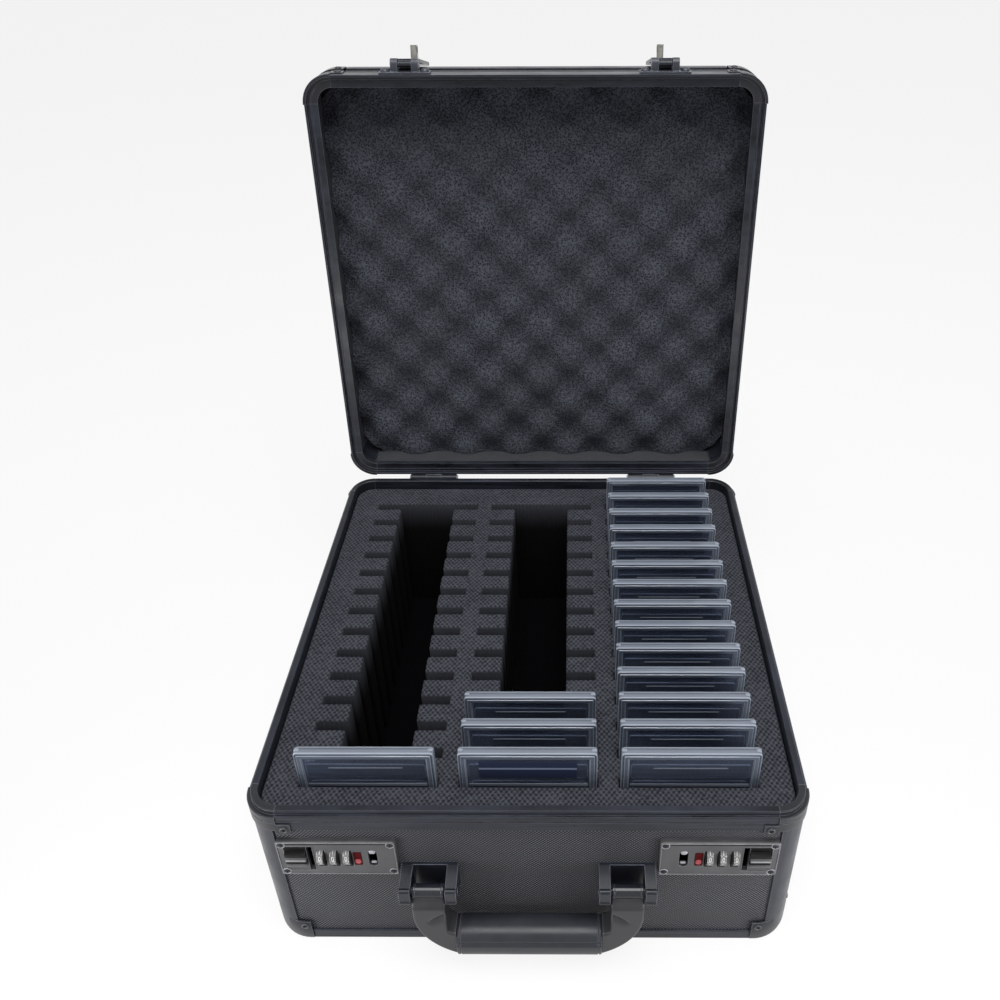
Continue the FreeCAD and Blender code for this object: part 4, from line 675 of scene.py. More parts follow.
# Half of the holder's rim, from the window outwards: inset, depth from the middle, and how strong a painted
# highlight it takes
RIM = np.array([(4.9, 2.05, 0.1), (4.5, 2.2, 0.9), (4.3, 2.9, 0.2), (4.1, 3.15, 0.9), (3.8, 3.25, 0.12),
                (2.1, 3.25, 0.12), (1.8, 3.2, 0.9), (1.6, 2.8, 0.0), (1.0, 2.75, 0.0), (0.4, 2.75, 0.3),
                (0.0, 2.4, 1.0)])
SEAM = np.array([(0.0, -2.1, 0.95), (0.0, -1.7, 0.42), (0.0, 0.2, 0.36), (0.0, 0.5, 0.15), (0.0, 0.8, 0.15),
                 (0.0, 1.0, 0.5), (0.35, 1.15, 0.0), (0.35, 1.4, 0.0), (0.0, 1.55, 0.8), (0.0, 1.8, 0.3),
                 (0.0, 2.2, 0.5)])
WELL = np.array([(0.9, -0.9, 0.0), (0.3, -0.9, 0.6), (0.0, -0.6, 0.9), (0.0, 0.6, 0.9), (0.3, 0.9, 0.6),
                 (0.9, 0.9, 0.0)])
LABEL_Z, LABEL_HALF = 135.5 * MM, 7.5 * MM
LIP = np.array([(0.25, -0.3, 0.3), (0.0, -0.2, 0.4), (0.0, 0.2, 0.4), (0.25, 0.3, 0.3)])
LUG = np.array([(0.6, -1.0, 0.7), (0.0, -0.7, 0.7), (0.0, 0.7, 0.7), (0.6, 1.0, 0.7)])


def holder(name, x, y):
    """A clear card case: profiles of inset and depth carried round rectangles, for two shells with
    a seam between them and a raised rim round each window, wells for the label and the card inside,
    lips on the front and back, and small lugs at the top corners."""
    front = RIM * (1, -1, 1)
    parts = [(np.concatenate([front, SEAM, RIM[::-1]]), HOLDER_WIDE / 2, HOLDER_TALL / 2, 2.2, 0, 0, 0, 1),
             (WELL, 34 * MM, 54 * MM, 1.5, 0, 0, -12, -1), (WELL, 35.5 * MM, 6.0 * MM, 1.5, 0, 0, 51, -1)]
    for side in (-1, 1):
        parts.append((LUG, 1.5 * MM, 0.7 * MM, 0.5, 39.2 * side, 0, 67.9, 1))
        parts.append((LIP, 22 * MM, 0.4 * MM, 0.3, 0, 2.1 * side, 54.6, 1))
        parts.append((LIP, 35.5 * MM, 1.3 * MM, 0.3, 0, 2.1 * side, 39.2, 1))
    shells, lit, window = [], [], []
    for profile, wide, tall, radius, shift_x, shift_y, shift_z, way in parts:
        spots, faces = carried(wide, tall, radius * MM, profile[:, :2] * MM, 4)
        if way < 0:
            faces = [face[:, ::-1] for face in faces]
        shells.append((spots + np.array([shift_x, shift_y, shift_z]) * MM, faces))
        lit.append(np.repeat(profile[:, 2], len(spots) // len(profile)))
        sizes = [len(face) for face in faces]
        window.append(np.repeat([0, 1, 1] if shift_z == 0 else [0, 0, 0], sizes))
    points, faces = joined(shells)
    made = piece(name + "_case", points + np.array([x, y, TRAY_LOW + HOLDER_TALL / 2]), faces,
                 FINISHES["acrylic_rim"], name, "clear_plastic", crease=25, merge=False)
    made.data.materials.append(FINISHES["acrylic_window"])
    made.data.polygons.foreach_set("material_index", np.concatenate(window).astype(np.int32))
    # Each point's share of the painted highlight, from the profiles' last column
    shine = made.data.attributes.new("painted_edge_highlight", "FLOAT", "POINT")
    shine.data.foreach_set("value", np.concatenate(lit).astype(np.float32))
    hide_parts(name)
    return made


for side, column, count in (("left", -1, 1), ("middle", 0, 3), ("right", 1, SLOTS)):
    for slot in range(count):
        holder("holder_%s_%d" % (side, slot + 1), column * COLUMN_PITCH,
               SLOT_START + SLOT_PITCH * slot + SLOT_THICK / 2)


# Small turned parts: a profile of radius and height carried round an axis

def turned(profile, at, axis, steps=20):
    """A closed (radius, height) profile carried round an axis through a point. Heights run along
    the axis, and the profile starts and ends on it."""
    axis = np.array(axis, float) / np.linalg.norm(axis)
    side = np.cross(axis, (0.0, 0.0, 1.0) if abs(axis[2]) < 0.9 else (1.0, 0.0, 0.0))
    side /= np.linalg.norm(side)
    radius, height = np.array(profile).T
    turn = np.arange(steps) * 2 * math.pi / steps
    round_it = np.cos(turn)[:, None] * side + np.sin(turn)[:, None] * np.cross(axis, side)
    points = (np.array(at) + height[:, None, None] * axis + radius[:, None, None] * round_it)
    return points.reshape(-1, 3), [grid_faces(len(radius), steps, wrap_columns=True)[:, ::-1]]


def painted(name, groups, body, slot, crease=35):
    """One piece of shells in several finishes, from (finish, [shells]) groups."""
    shells = [shell for _, group in groups for shell in group]
    points, faces = joined(shells)
    made = piece(name, points, faces, FINISHES[groups[0][0]], body, slot, crease, outward=False,
                 merge=False)
    index = []
    for number, (finish, group) in enumerate(groups):
        if number:
            made.data.materials.append(FINISHES[finish])
        for _, quads in group:
            index.append(np.full(sum(len(q) for q in (quads if isinstance(quads, list) else [quads])),
                                 number))
    made.data.polygons.foreach_set("material_index", np.concatenate(index).astype(np.int32))
    return made


RIVET = np.array([(0, -0.2), (2.5, -0.2), (2.6, 0.1), (2.5, 0.45), (2.2, 0.75), (1.85, 0.88), (1.6, 0.8),
                  (1.5, 0.6), (1.42, 0.15), (0, 0.1)]) * MM
HOLE = np.array([(0, 0.0), (1.4, 0.0), (1.4, 0.22), (0, 0.25)]) * MM
RIVET_RINGS = {"case": ((165.8, 141.0, 115.1), (166.1, 144.0, 15.0)),
               "lid": ((165.8, 141.0, 137.05), (166.1, 144.0, 153.0))}


def rivets(body):
    """Hollow rivet heads, two on each wall beside each corner, along the rim and the caps, with a dark disc
    in each hole as painted shade.
    """
    rings, holes = [], []
    for half, along, height in RIVET_RINGS[body]:
        for side in (-1, 1):
            for end in (-1, 1):
                for at, axis in (((end * along, side * half, height), (0, side, 0)),
                                 ((side * half, end * along, height), (side, 0, 0))):
                    for profile, shells in ((RIVET, rings), (HOLE, holes)):
                        points, faces = turned(profile, np.array(at) * MM, axis)
                        shells.append((opened(points) if body == "lid" else points, faces))
    node = "lid_rivets" if body == "lid" else "base_rivets"
    # The near-black HOLE discs are painted shade in the rivets' holes
    heads = painted(node + "_hollow", [("fastener", rings), ("lock_case", holes)], body, "fastener", 50)
    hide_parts(node)


rivets("case")
rivets("lid")


# Locks: X runs out from the middle of the case, and each lock mirrors the other
LOCK_FRONT, LOCK_MIDDLE_Z, LOCK_MIDDLE_X = -166.5 * MM, 88.75 * MM, 113.0 * MM
LOCK_HALF_WIDE, LOCK_HALF_TALL = 35.1 * MM, 15.75 * MM
DIAL_X, DIAL_Y = (106.9 * MM, 114.75 * MM, 122.6 * MM), -162 * MM
BEAD = np.array([(0.05, 0.25), (0.0, -0.15), (0.25, -0.4), (0.65, -0.4), (0.9, -0.1), (0.95, 0.25)]) * MM
SCREW = np.array([(0, -0.1), (2.6, -0.1), (2.65, 0.1), (2.5, 0.3), (2.3, 0.33), (2.15, 0.1), (0, 0.08)]) * MM
SCREW_HEAD = np.array([(0, 0.0), (2.05, 0.0), (2.0, 0.3), (1.5, 0.5), (0, 0.55)]) * MM


def ring(half_wide, half_tall, radius, profile, at, steps=5):
    """A closed profile of (inset, depth) points carried round a rounded rectangle and back."""
    points, _ = carried(half_wide, half_tall, radius, profile, steps)
    rows, columns = len(profile), len(points) // len(profile)
    return points + np.array(at), [grid_faces(rows, columns, wrap_rows=True, wrap_columns=True)[:, ::-1]]


def pad_of(half_wide, half_tall, radius, rise, at, steps=5):
    """A low rounded pad that stands out from a front face: its edge drawn in along a quarter
    circle."""
    turn = np.linspace(0, math.pi / 2, 5)
    soft = min(radius, rise) * 0.9
    profile = np.stack([soft * (1 - np.cos(turn)), -(rise - soft) - soft * np.sin(turn)], -1)
    profile = np.concatenate([[(0, 0.3 * MM)], profile])
    points, faces = carried(half_wide, half_tall, radius, profile, steps)
    return points + np.array(at), [face[:, ::-1] for face in faces]


def slide(at):
    """The release's thumb slide: a slope that rises to a ridge and drops to a flat foot, as one
    side profile carried across with eased ends."""
    profile = np.array([(6.2, -0.1), (5.6, -2.25), (3.4, -2.3), (3.0, -2.3), (1.0, -2.4), (0.4, -2.65),
                        (-0.1, -2.6), (-0.4, -2.3), (-0.6, -2.2), (-2.9, -2.2), (-3.1, -2.3), (-5.4, -2.3),
                        (-5.9, -2.1), (-6.1, 0.0)])
    across = np.array([-6.3, -6.2, -5.9, -3, 0, 3, 5.9, 6.2, 6.3])
    drop = np.array([0.5, 0.2, 0.0, 0.0, 0.0, 0.0, 0.0, 0.2, 0.5])
    depth = np.minimum(profile[:, 1][:, None] + drop, 0.1)
    points = np.stack([np.broadcast_to(across, depth.shape), depth,
                       np.broadcast_to(profile[:, 0][:, None], depth.shape)], -1)
    back = points * (1, 0, 1) + (0, 0.2, 0)
    rows, columns = depth.shape
    shell = np.concatenate([points.reshape(-1, 3), back.reshape(-1, 3)]) * MM + np.array(at)
    front = grid_faces(rows, columns)
    count = rows * columns
    edge = np.concatenate([np.arange(columns), np.arange(1, rows) * columns + columns - 1,
                           np.arange(count - 2, count - columns - 1, -1),
                           np.arange(rows - 2, 0, -1) * columns])
    after = np.roll(edge, -1)
    side = np.stack([edge, after, after + count, edge + count], -1)
    return shell, [front, front[:, ::-1] + count, side]


DIGITS = {}


def digit(number):
    """A numeral as flat thin points and faces, centred, one unit tall, facing +Z."""
    if number not in DIGITS:
        text = bpy.data.curves.new("numeral", "FONT")
        text.body = str(number)
        text.size = 1.35
        text.extrude = 0.02
        text.resolution_u = 2
        shown = bpy.data.objects.new("numeral", text)
        mesh = bpy.data.meshes.new_from_object(shown)
        spots = np.zeros(len(mesh.vertices) * 3)
        mesh.vertices.foreach_get("co", spots)
        spots = spots.reshape(-1, 3)
        spots[:, :2] -= (spots[:, :2].max(0) + spots[:, :2].min(0)) / 2
        DIGITS[number] = (spots, [np.array([p.vertices[:]]) for p in mesh.polygons])
        bpy.data.objects.remove(shown)
        bpy.data.meshes.remove(mesh)
        bpy.data.curves.remove(text)
    return DIGITS[number]


FACETS, FACET_STEPS = 10, 12
WHEEL_FLAT, WHEEL_RIB = 6.75, 7.4
NUMERAL_SIZE = np.array([2.7, 3.5, 2.0])
COLLAR = np.array([(0, -0.55), (7.3, -0.55), (7.4, -0.4), (7.4, 0.4), (7.3, 0.55), (0, 0.55)]) * MM


def dial(body, x):
    """A number wheel: ten sunk facets between raised ribs, a rim at each side, a numeral on each
    facet, and a dark collar on the side of the case's middle, whose dark colour is painted shade for
    the gap beside the wheel. The radius is the facet's flat over the cosine of the angle from its middle, and
    rises to the rib near each joint of two facets.
    Two facets share the window, one above the other."""
    steps = FACETS * FACET_STEPS
    turn = np.arange(steps) * 2 * math.pi / steps
    share = 2 * math.pi / FACETS
    off = turn % share - share / 2
    rib = np.clip((np.abs(off) - math.radians(12.5)) / math.radians(2.5), 0, 1)
    flat = WHEEL_FLAT / np.cos(off)
    radius = flat + (WHEEL_RIB - flat) * rib
    way = math.copysign(1, x)
    middle = np.array([x + 0.65 * way * MM, DIAL_Y, LOCK_MIDDLE_Z])
    across = np.array([-1.85, -1.85, -1.65, -1.5, 1.5, 1.65, 1.85, 1.85])
    rim = np.array([3.0, 7.1, 7.25, 0.0, 0.0, 7.25, 7.1, 3.0])
    rows = np.where(rim[:, None] > 0, rim[:, None], radius)
    points = np.stack([np.broadcast_to(across[:, None], rows.shape), -rows * np.cos(turn),
                       rows * np.sin(turn)], -1)
    wheel = (points.reshape(-1, 3) * MM + middle, capped(len(across), steps))
    # The collar's near-black finish is painted shade for the gap beside the wheel
    collar = turned(COLLAR, (x - 1.9 * way * MM, DIAL_Y, LOCK_MIDDLE_Z), (1, 0, 0), 40)
    marks = []
    for number in range(FACETS):
        spots, quads = digit(number)
        angle = (number + 0.5) * share
        out = np.array([0, -math.cos(angle), math.sin(angle)])
        up = np.array([0, math.sin(angle), math.cos(angle)])
        spots = spots * NUMERAL_SIZE
        marks.append((middle + MM * (spots[:, :1] * np.array([1.0, 0, 0]) + spots[:, 1:2] * up
                                     + (WHEEL_FLAT + 0.03 + spots[:, 2:]) * out), quads))
    made = painted(body + "_wheel", [("dial", [wheel]), ("lock_case", [collar]), ("numeral", marks)],
                   body, "dial", 30)
    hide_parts(body)


MOUTH_X, MARKER_X = 92.1, 101.05
RELEASE_X, RELEASE_Z = 137.25, 89.55


def lock(side):
    """The lock's dressing: a bead round the plate and a sill round the release, a catch in the
    mouth, the marker's button, the release's thumb slide and the number wheels, with painted highlights and
    painted shade on the plate and the slide."""
    way = SIDES[side]

    def stud(half_wide, half_tall, radius, rise, x, out, z, steps=5):
        """A low pad on the lock's face, sized and placed in millimetres."""
        return pad_of(half_wide * MM, half_tall * MM, radius * MM, rise * MM,
                      (way * x * MM, LOCK_FRONT + out * MM, z * MM), steps)

    middle = np.array([way * LOCK_MIDDLE_X, LOCK_FRONT, LOCK_MIDDLE_Z])
    # Painted light on the plate: the bead is lighter as a painted highlight round its edge, glint is a
    # painted highlight along its top, and gap is a dark strip under it, painted shadow
    bead = ring(LOCK_HALF_WIDE, LOCK_HALF_TALL, 1.2 * MM, BEAD, middle)
    sill = ring(8.9 * MM, 12.0 * MM, 0.8 * MM, BEAD * 0.7, (way * 135.5 * MM, LOCK_FRONT, LOCK_MIDDLE_Z))
    glint = stud(34.4, 0.5, 0.4, 0.3, 113.0, 0.0, 103.7, 2)
    gap = stud(33.4, 0.45, 0.3, 0.12, 113.0, 0.0, 102.4, 2)
    painted("lock_bead_" + side, [("bead", [bead]), ("lock_plastic", [sill]), ("bright_plastic", [glint]),
                                  ("lock_case", [gap])], "case", "lock_plastic")
    tongue = stud(2.2, 1.75, 1.5, 1.2, MOUTH_X, 1.0, 94.4)
    heel = stud(1.8, 0.8, 0.7, 0.8, MOUTH_X, 1.6, 83.2)
    painted("lock_catch_" + side, [("catch", [tongue, heel])], "case", "steel")
    button = stud(2.0, 2.4, 1.8, 0.9, MARKER_X, 0.2, 86.4)
    painted("lock_button_" + side, [("button", [button])], "case", "marker")
    cover = slide((way * RELEASE_X * MM, LOCK_FRONT - 0.1 * MM, RELEASE_Z * MM))
    # The ridge's bright finish is a painted highlight; shade is a near-black pad, painted shade over the top
    # of the slide
    ridge = stud(5.9, 0.55, 0.45, 0.5, RELEASE_X, -2.45, 89.7)
    shade = stud(6.4, 4.3, 0.4, 0.1, 137.35, 0.1, 95.7)
    made = painted("release_slide_" + side, [("lock_plastic", [cover]), ("bright_plastic", [ridge]),
                                             ("lock_case", [shade])], "release_" + side, "lock_plastic")
    # Painted shade: the faces of the scoop above the ridge and of the undercut below it take the near-black
    # finish
    count = len(made.data.polygons)
    centres, index = np.zeros(count * 3), np.zeros(count, np.int32)
    made.data.polygons.foreach_get("center", centres)
    made.data.polygons.foreach_get("material_index", index)
    high = centres.reshape(-1, 3)[:, 2] / MM - RELEASE_Z
    dark = (high > 3.0) | ((high < -0.45) & (high > -3.05))
    index = np.where((index == 0) & dark, 2, index).astype(np.int32)
    made.data.polygons.foreach_set("material_index", index)
    for number, dial_x in enumerate(DIAL_X):
        dial("dial_%s_%d" % (side, number + 1), way * dial_x)


for side in SIDES:
    lock(side)
label = pad_of(29 * MM, LABEL_HALF, 0.6 * MM, 0.3 * MM,
               (0, SLOT_START + SLOT_THICK / 2 - 2.15 * MM, LABEL_Z), 3)
painted("holder_label", [("label", [label])], "holder_middle_1", "clear_plastic")
SCREWS_X, SCREWS_Z = (-145.1, -80.9, 80.9, 145.1), (76.0, 101.5)
washers, heads, crosses = [], [], []
for x in SCREWS_X:
    for z in SCREWS_Z:
        at = np.array([x * MM, LOCK_FRONT, z * MM])
        face = at - np.array([0, 0.54 * MM, 0])
        washers.append(turned(SCREW, at, (0, -1, 0)))
        heads.append(turned(SCREW_HEAD, at, (0, -1, 0)))
        # The dark crosses stand out from the heads: painted shade for the screws' cross recesses
        for wide, tall in ((1.2, 0.25), (0.25, 1.2)):
            crosses.append(pad_of(wide * MM, tall * MM, 0.1 * MM, 0.06 * MM, face, 2))
screws = painted("lock_screw_heads", [("bright_plastic", washers), ("edge_metal", heads),
                                      ("lock_case", crosses)], "case", "fastener")
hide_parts("lock_screws")


def grip():
    """The handle's grip: a rounded cross-section (the 2.7th powers of its shares of the half-depth
    and the half-height add up to one) carried along X, with a moulding seam and eased ends."""
    turn = np.linspace(0, 2 * math.pi, 193)[:-1]
    power = 2 / 2.7
    out = np.sign(np.cos(turn)) * np.abs(np.cos(turn)) ** power
    up = np.sign(np.sin(turn)) * np.abs(np.sin(turn)) ** power
    seam_at = math.pi - 0.3
    groove = 1.3 * np.exp(-((turn - seam_at) / 0.1) ** 2) + 0.4 * np.exp(-((turn - 0.2) / 0.05) ** 2)
    along = np.concatenate([[44.4, 44.4, 44.2, 43.6, 42.6, 42.3, 42.1, 41.8], np.linspace(41, -41, 21),
                            [-41.8, -42.1, -42.3, -42.6, -43.6, -44.2, -44.4, -44.4]])
    drop = np.concatenate([[2.5, 0.9, 0.35, 0.05, 0.05, 0.45, 0.45, 0.0], 0.0 * np.linspace(41, -41, 21),
                           [0.0, 0.45, 0.45, 0.05, 0.05, 0.35, 0.9, 2.5]])
    deep = drop[:, None] + groove[None, :]
    points = np.stack([np.broadcast_to(along[:, None], deep.shape), -177.0 + (9.95 - deep) * out,
                       27.0 + (11.95 - deep) * up], -1)
    made = piece("handle_grip_sleeve", points.reshape(-1, 3) * MM, capped(*deep.shape), FINISHES["grip"],
                 "handle", "grip", crease=40)
    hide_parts("handle_grip")


grip()


PIVOT = np.array([0.0, -177.0, 73.0])
ARM_MIDDLE = 59.0
ARM_TOP, BEND_TOP, GRIP_END, ARM_EDGE = 70.7, 57.0, 44.5, 1.6
BEND_X, BEND_RADIUS = 24.9, 44.0
CURL_RUN, CURL_RADIUS = 13.4, 4.6
DENT_START, DENT_LINE = np.array([49.0, 60.0]), np.array([12.0, -9.0]) / 15.0


def arm(way):
    """One arm of the handle: a rounded box section carried from the barrel down to the grip's end.

    The section runs between the arm's inner edge, straight and then a small quarter circle, and its
    outer edge, straight and then the big bend. It is a rectangle drawn in by the edge radius and
    pushed out again along its normals. Its depth swells below the barrel, and the front has a
    shallow slanting dent, a Gaussian of the distance from a line.
    """
    share = np.concatenate([np.linspace(0, 0.25, 12)[:-1], np.linspace(0.25, 1, 30)])
    end = math.acos((GRIP_END - BEND_X) / BEND_RADIUS)
    bend = np.clip((share - 0.25) / 0.75, 0, 1)
    straight = ARM_TOP - (ARM_TOP - BEND_TOP) * np.clip(share / 0.25, 0, 1)
    outer = np.stack([BEND_X + BEND_RADIUS * np.cos(bend * end),
                      straight - BEND_RADIUS * np.sin(bend * end)], -1)
    drop = bend * (CURL_RUN + CURL_RADIUS * math.pi / 2)
    curl = np.clip((drop - CURL_RUN) / CURL_RADIUS, 0, math.pi / 2)
    inner = np.stack([GRIP_END + CURL_RADIUS * np.cos(curl),
                      straight - np.minimum(drop, CURL_RUN) - CURL_RADIUS * np.sin(curl)], -1)
    flat = np.linspace(-1, 1, 21)
    round_it = np.linspace(0, math.pi / 2, 6)[1:-1]
    front = np.stack([flat, flat * 0 - 1, flat * 0, flat * 0 - 1], -1)
    bends = []
    turns = ((1, -1, -math.pi / 2), (1, 1, 0), (-1, 1, math.pi / 2), (-1, -1, math.pi))
    for corner_u, corner_v, start in turns:
        turn = round_it + start
        bends.append(np.stack([turn * 0 + corner_u, turn * 0 + corner_v, np.cos(turn), np.sin(turn)], -1))
    outside = np.array([[1, v, 1, 0] for v in (-1, 0, 1)])
    behind = np.array([[-u, 1, 0, 1] for u in (-1, -0.5, 0, 0.5, 1)])
    inside = np.array([[-1, -v, -1, 0] for v in (-1, 0, 1)])
    loop = np.concatenate([front, bends[0], outside, bends[1], behind, bends[2], inside, bends[3]])
    half = np.linalg.norm(outer - inner, axis=1)[:, None] / 2
    unit = ((outer - inner) / (2 * half))[:, None, :]
    fade = np.clip((ARM_TOP - outer[:, 1]) / 5.5, 0, 1)[:, None]
    thick = 3.4 + 4.05 * (3 * fade ** 2 - 2 * fade ** 3)
    across = loop[None, :, 0] * (half - ARM_EDGE) + ARM_EDGE * loop[None, :, 2]
    deep = loop[None, :, 1] * (thick - ARM_EDGE) + ARM_EDGE * loop[None, :, 3]
    spots = ((inner + outer) / 2)[:, None, :] + across[..., None] * unit
    x, z = spots[..., 0], spots[..., 1]
    along = (x - DENT_START[0]) * DENT_LINE[0] + (z - DENT_START[1]) * DENT_LINE[1]
    off = (x - DENT_START[0]) * DENT_LINE[1] - (z - DENT_START[1]) * DENT_LINE[0]
    dent = 2.4 * np.exp(-(off / np.where(off > 0, 2.8, 1.0)) ** 2)
    dent = dent * np.clip((15 - along) / 8, 0, 1) * np.clip((along + 2) / 3, 0, 1)
    y = PIVOT[1] + deep + np.where(loop[None, :, 3] < -0.9, dent, 0)
    points = np.stack([way * x, y, z], -1)
    faces = capped(*x.shape)
    if way < 0:
        faces = [face[:, ::-1] for face in faces]
    return points.reshape(-1, 3) * MM, faces


def pivots():
    """The handle's arms and their pivot barrels, and on the brackets the pin heads and the rolled
    toes at the ends of the ears."""
    arms = [arm(way) for way in (-1, 1)]
    made = painted("handle_arms", [("handle_plastic", arms)], "handle", "handle_plastic", 40)
    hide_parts("handle_frame")
    profile = np.array([(2.2, -9.3), (3.9, -9.3), (4.3, -8.9), (4.3, -7.9), (4.0, -7.6), (4.0, 7.6),
                        (4.3, 7.9), (4.3, 8.9), (3.9, 9.3), (2.2, 9.3)]) * MM
    sleeves = []
    for way in (-1, 1):
        points, _ = turned(profile, (PIVOT + (way * ARM_MIDDLE, 0, 0)) * MM, (1, 0, 0), 40)
        sleeves.append((points, [grid_faces(len(profile), 40, wrap_rows=True, wrap_columns=True)[:, ::-1]]))
    painted("handle_barrels", [("barrel", sleeves)], "handle", "handle_plastic")
    pin = np.array([(0, -1.2), (3.1, -1.2), (3.1, 0.2), (2.7, 0.7), (1.6, 0.9), (0, 0.95)]) * MM
    roll = np.array([(0, -3.45), (1.2, -3.45), (1.7, -3.1), (1.7, 3.1), (1.2, 3.45), (0, 3.45)]) * MM
    ends, rolls = [], []
    for way in (-1, 1):
        for side in (-1, 1):
            ear = way * (ARM_MIDDLE + side * 13.6)
            ends.append(turned(pin, (PIVOT + (way * (ARM_MIDDLE + side * 17.0), 0, 0)) * MM,
                               (way * side, 0, 0), 24))
            for y, z in ((-180.6, 78.0), (-181.3, 69.2)):
                rolls.append(turned(roll, np.array([ear, y, z]) * MM, (1, 0, 0), 24))
    painted("bracket_trim", [("hardware", ends + rolls)], "case", "hardware")


pivots()


CAP_OUT, CAP_RADIUS, CAP_END = 166.1, 24.1, 140.0
CAP = np.array([(0.15, 19.0), (0.0, 18.7), (0.0, 3.0), (0.3, 1.5), (1.2, 0.4), (2.6, 0.0), (12.0, 0.0),
                (12.0, 0.9), (2.8, 0.9), (1.4, 1.6), (1.0, 3.0), (1.0, 19.0)])


def corner_cap(way_x, way_y):
    """A stamped corner cap: a wall with a rounded foot, as a profile of inset and height carried
    along one wall, round the corner and along the other."""
    turn = np.linspace(0, math.pi / 2, 13)
    centre = CAP_OUT - CAP_RADIUS
    inset, height = CAP[:, 0][None, :], CAP[:, 1][None, :]
    radius = CAP_RADIUS - inset
    round_x, round_y = centre + radius * np.sin(turn)[:, None], centre + radius * np.cos(turn)[:, None]
    one = np.stack([inset * 0 + CAP_END, CAP_OUT - inset, height], -1)
    last = np.stack([CAP_OUT - inset, inset * 0 + CAP_END, height], -1)
    bend = np.stack([round_x, round_y, np.broadcast_to(height, round_x.shape)], -1)
    points = np.concatenate([one, bend, last]) * (way_x, way_y, 1)
    faces = capped(*points.shape[:2])
    if way_x * way_y < 0:
        faces = [face[:, ::-1] for face in faces]
    return points.reshape(-1, 3) * MM, faces


stampings = [corner_cap(x, y) for x in (-1, 1) for y in (-1, 1)]
caps = painted("base_corner_stampings", [("corner_metal", stampings)], "case", "corner_metal", 40)
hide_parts("base_corner_caps")


def lid_trim():
    """Round bosses beside each hasp bracket, and pin heads at both ends of each hinge: profiles of
    radius and height turned round an axis."""
    boss = np.array([(0, -0.3), (3.6, -0.3), (3.7, 0.3), (3.5, 1.4), (2.9, 2.5), (1.9, 3.3), (0, 3.6)]) * MM
    domes = []
    for way in (-1, 1):
        for side in (-1, 1):
            at = np.array([way * MOUTH_X + side * 14.2, -165.4, 133.0]) * MM
            points, faces = turned(boss, at, (0, -1, 0), 28)
            domes.append((opened(points), faces))
    painted("hasp_bosses", [("hasp_metal", domes)], "lid", "hardware")
    head = np.array([(0, -0.2), (2.3, -0.2), (2.5, 0.1), (2.3, 0.7), (1.6, 0.9), (0, 0.95)]) * MM
    heads = [turned(head, (way * x * MM, HINGE_Y, HINGE_Z), (way * out, 0, 0), 24)
             for x, out in ((74.9, -1), (115.1, 1)) for way in (-1, 1)]
    painted("hinge_pin_heads", [("bright_plastic", heads)], "case", "hardware")


lid_trim()


# Stage: a floor and a world that are white to the eye and in reflections, and dim as lights

FLOOR_REACH, FLOOR_DIM, FLOOR_PALE, FLOOR_GLOW = 6.0, 0.35, 0.97, 0.86
WORLD_DIM, WHITE = 0.13, (1, 1, 1, 1)
AIM = Vector((0, 0, 0.15))
# Each lamp's place, side and power
LAMPS = {"top": ((0.1, -0.38, 1.9), 1.2, 30.0), "front": ((-0.9, -1.8, 1.1), 1.2, 0.8),
         "low_left": ((-0.29, -0.3, 0.1), 0.12, 0.45), "low_right": ((0.3, -0.3, 0.1), 0.12, 0.45)}


def sees_white(tree):
    """1 where a ray comes from the camera, off metal or through clear plastic, else 0."""
    path = tree.nodes.new("ShaderNodeLightPath")
    seen = path.outputs["Is Camera Ray"]
    for kind in ("Is Glossy Ray", "Is Transmission Ray"):
        either = tree.nodes.new("ShaderNodeMath")
        either.operation = "MAXIMUM"
        tree.links.new(seen, either.inputs[0])
        tree.links.new(path.outputs[kind], either.inputs[1])
        seen = either.outputs[0]
    return seen


def mixed(tree, share, one, two, out):
    """Two shaders mixed by a share, on a tree's output."""
    mix = tree.nodes.new("ShaderNodeMixShader")
    for number, socket in enumerate((share, one, two)):
        tree.links.new(socket, mix.inputs[number])
    tree.links.new(mix.outputs[0], tree.nodes[out].inputs["Surface"])


def floor():
    """A wide flat floor: dim as a light, and to the eye a glow close to white that the case's own
    shadow takes a little from."""
    mesh = bpy.data.meshes.new("floor")
    mesh.from_pydata([(x * FLOOR_REACH, y * FLOOR_REACH, 0) for x, y in ((-1, -1), (1, -1), (1, 1), (-1, 1))],
                     [], [(0, 1, 2, 3)])
    plane = bpy.data.objects.new("floor", mesh)
    bpy.context.scene.collection.objects.link(plane)
    cover = bpy.data.materials.new("pale_floor")
    cover.use_nodes = True
    tree = cover.node_tree
    shader = tree.nodes["Principled BSDF"]
    shader.inputs["Roughness"].default_value = 0.9
    seen = sees_white(tree)
    pale = tree.nodes.new("ShaderNodeMapRange")
    pale.inputs["To Min"].default_value = FLOOR_DIM
    pale.inputs["To Max"].default_value = FLOOR_PALE
    tree.links.new(seen, pale.inputs["Value"])
    tree.links.new(pale.outputs["Result"], shader.inputs["Base Color"])
    glow = tree.nodes.new("ShaderNodeEmission")
    glow.inputs["Color"].default_value = WHITE
    most = tree.nodes.new("ShaderNodeMath")
    most.operation = "MULTIPLY"
    most.inputs[1].default_value = FLOOR_GLOW
    tree.links.new(seen, most.inputs[0])
    mixed(tree, most.outputs[0], shader.outputs[0], glow.outputs[0], "Material Output")
    mesh.materials.append(cover)


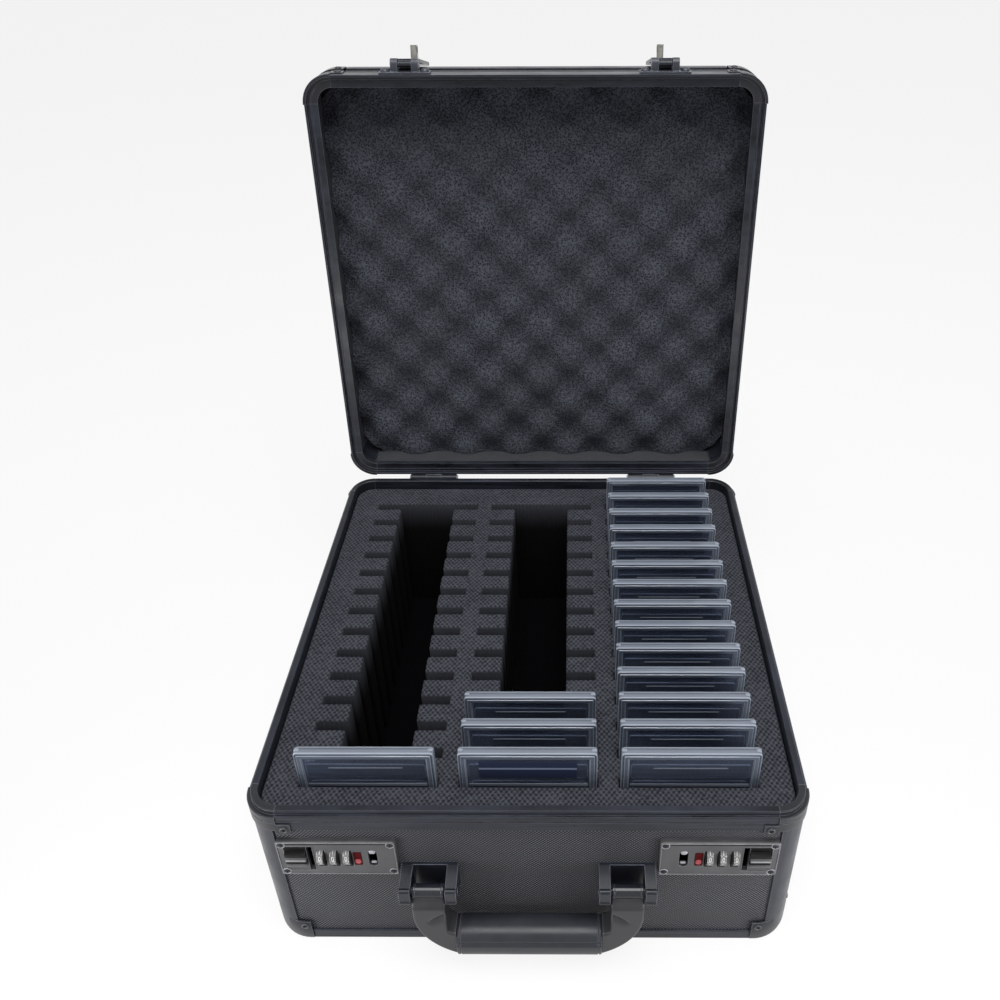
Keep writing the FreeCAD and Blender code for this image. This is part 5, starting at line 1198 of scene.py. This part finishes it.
def world():
    """A world that is white to the eye and in reflections, and a dim even light otherwise."""
    studio = bpy.data.worlds.new("studio")
    bpy.context.scene.world = studio
    studio.use_nodes = True
    tree = studio.node_tree
    light = tree.nodes["Background"]
    light.inputs["Color"].default_value = WHITE
    light.inputs["Strength"].default_value = WORLD_DIM
    white = tree.nodes.new("ShaderNodeBackground")
    white.inputs["Color"].default_value = WHITE
    white.inputs["Strength"].default_value = 1.0
    mixed(tree, sees_white(tree), light.outputs[0], white.outputs[0], "World Output")


def lamps():
    """Square lamps that face the middle of the case."""
    for name, (at, side, power) in LAMPS.items():
        lamp = bpy.data.lights.new(name, "AREA")
        lamp.shape = "SQUARE"
        lamp.size = side
        lamp.energy = power
        shown = bpy.data.objects.new(name, lamp)
        shown.location = at
        shown.rotation_euler = (AIM - shown.location).to_track_quat("-Z", "Y").to_euler()
        bpy.context.scene.collection.objects.link(shown)


EYE = np.array([26.228, -489.279, 597.999]) * MM


def camera():
    """The photograph's viewpoint: focal length, optical centre, pitch, yaw and roll in the image."""
    wide, focal, centre_x, centre_y = 1000.0, 921.41, 566.48, 427.76
    pitch, yaw, roll = 0.56828, -0.00733, -0.00441
    ahead = np.array([math.sin(yaw) * math.cos(pitch), math.cos(yaw) * math.cos(pitch), -math.sin(pitch)])
    right = np.array([math.cos(yaw), -math.sin(yaw), 0.0])
    up = np.cross(right, ahead)
    right, up = (right * math.cos(roll) + up * math.sin(roll), up * math.cos(roll) - right * math.sin(roll))
    lens = bpy.data.cameras.new("camera")
    lens.sensor_width = 36.0
    lens.lens = lens.sensor_width * focal / wide
    lens.shift_x = 0.5 - centre_x / wide
    lens.shift_y = centre_y / wide - 0.5
    eye = bpy.data.objects.new("camera", lens)
    place = np.eye(4)
    place[:3, 0], place[:3, 1], place[:3, 2] = right, up, -ahead
    place[:3, 3] = EYE
    eye.matrix_world = Matrix(place.tolist())
    bpy.context.scene.collection.objects.link(eye)
    bpy.context.scene.camera = eye


floor()
world()
lamps()
camera()
bpy.context.scene.view_settings.view_transform = "Standard"
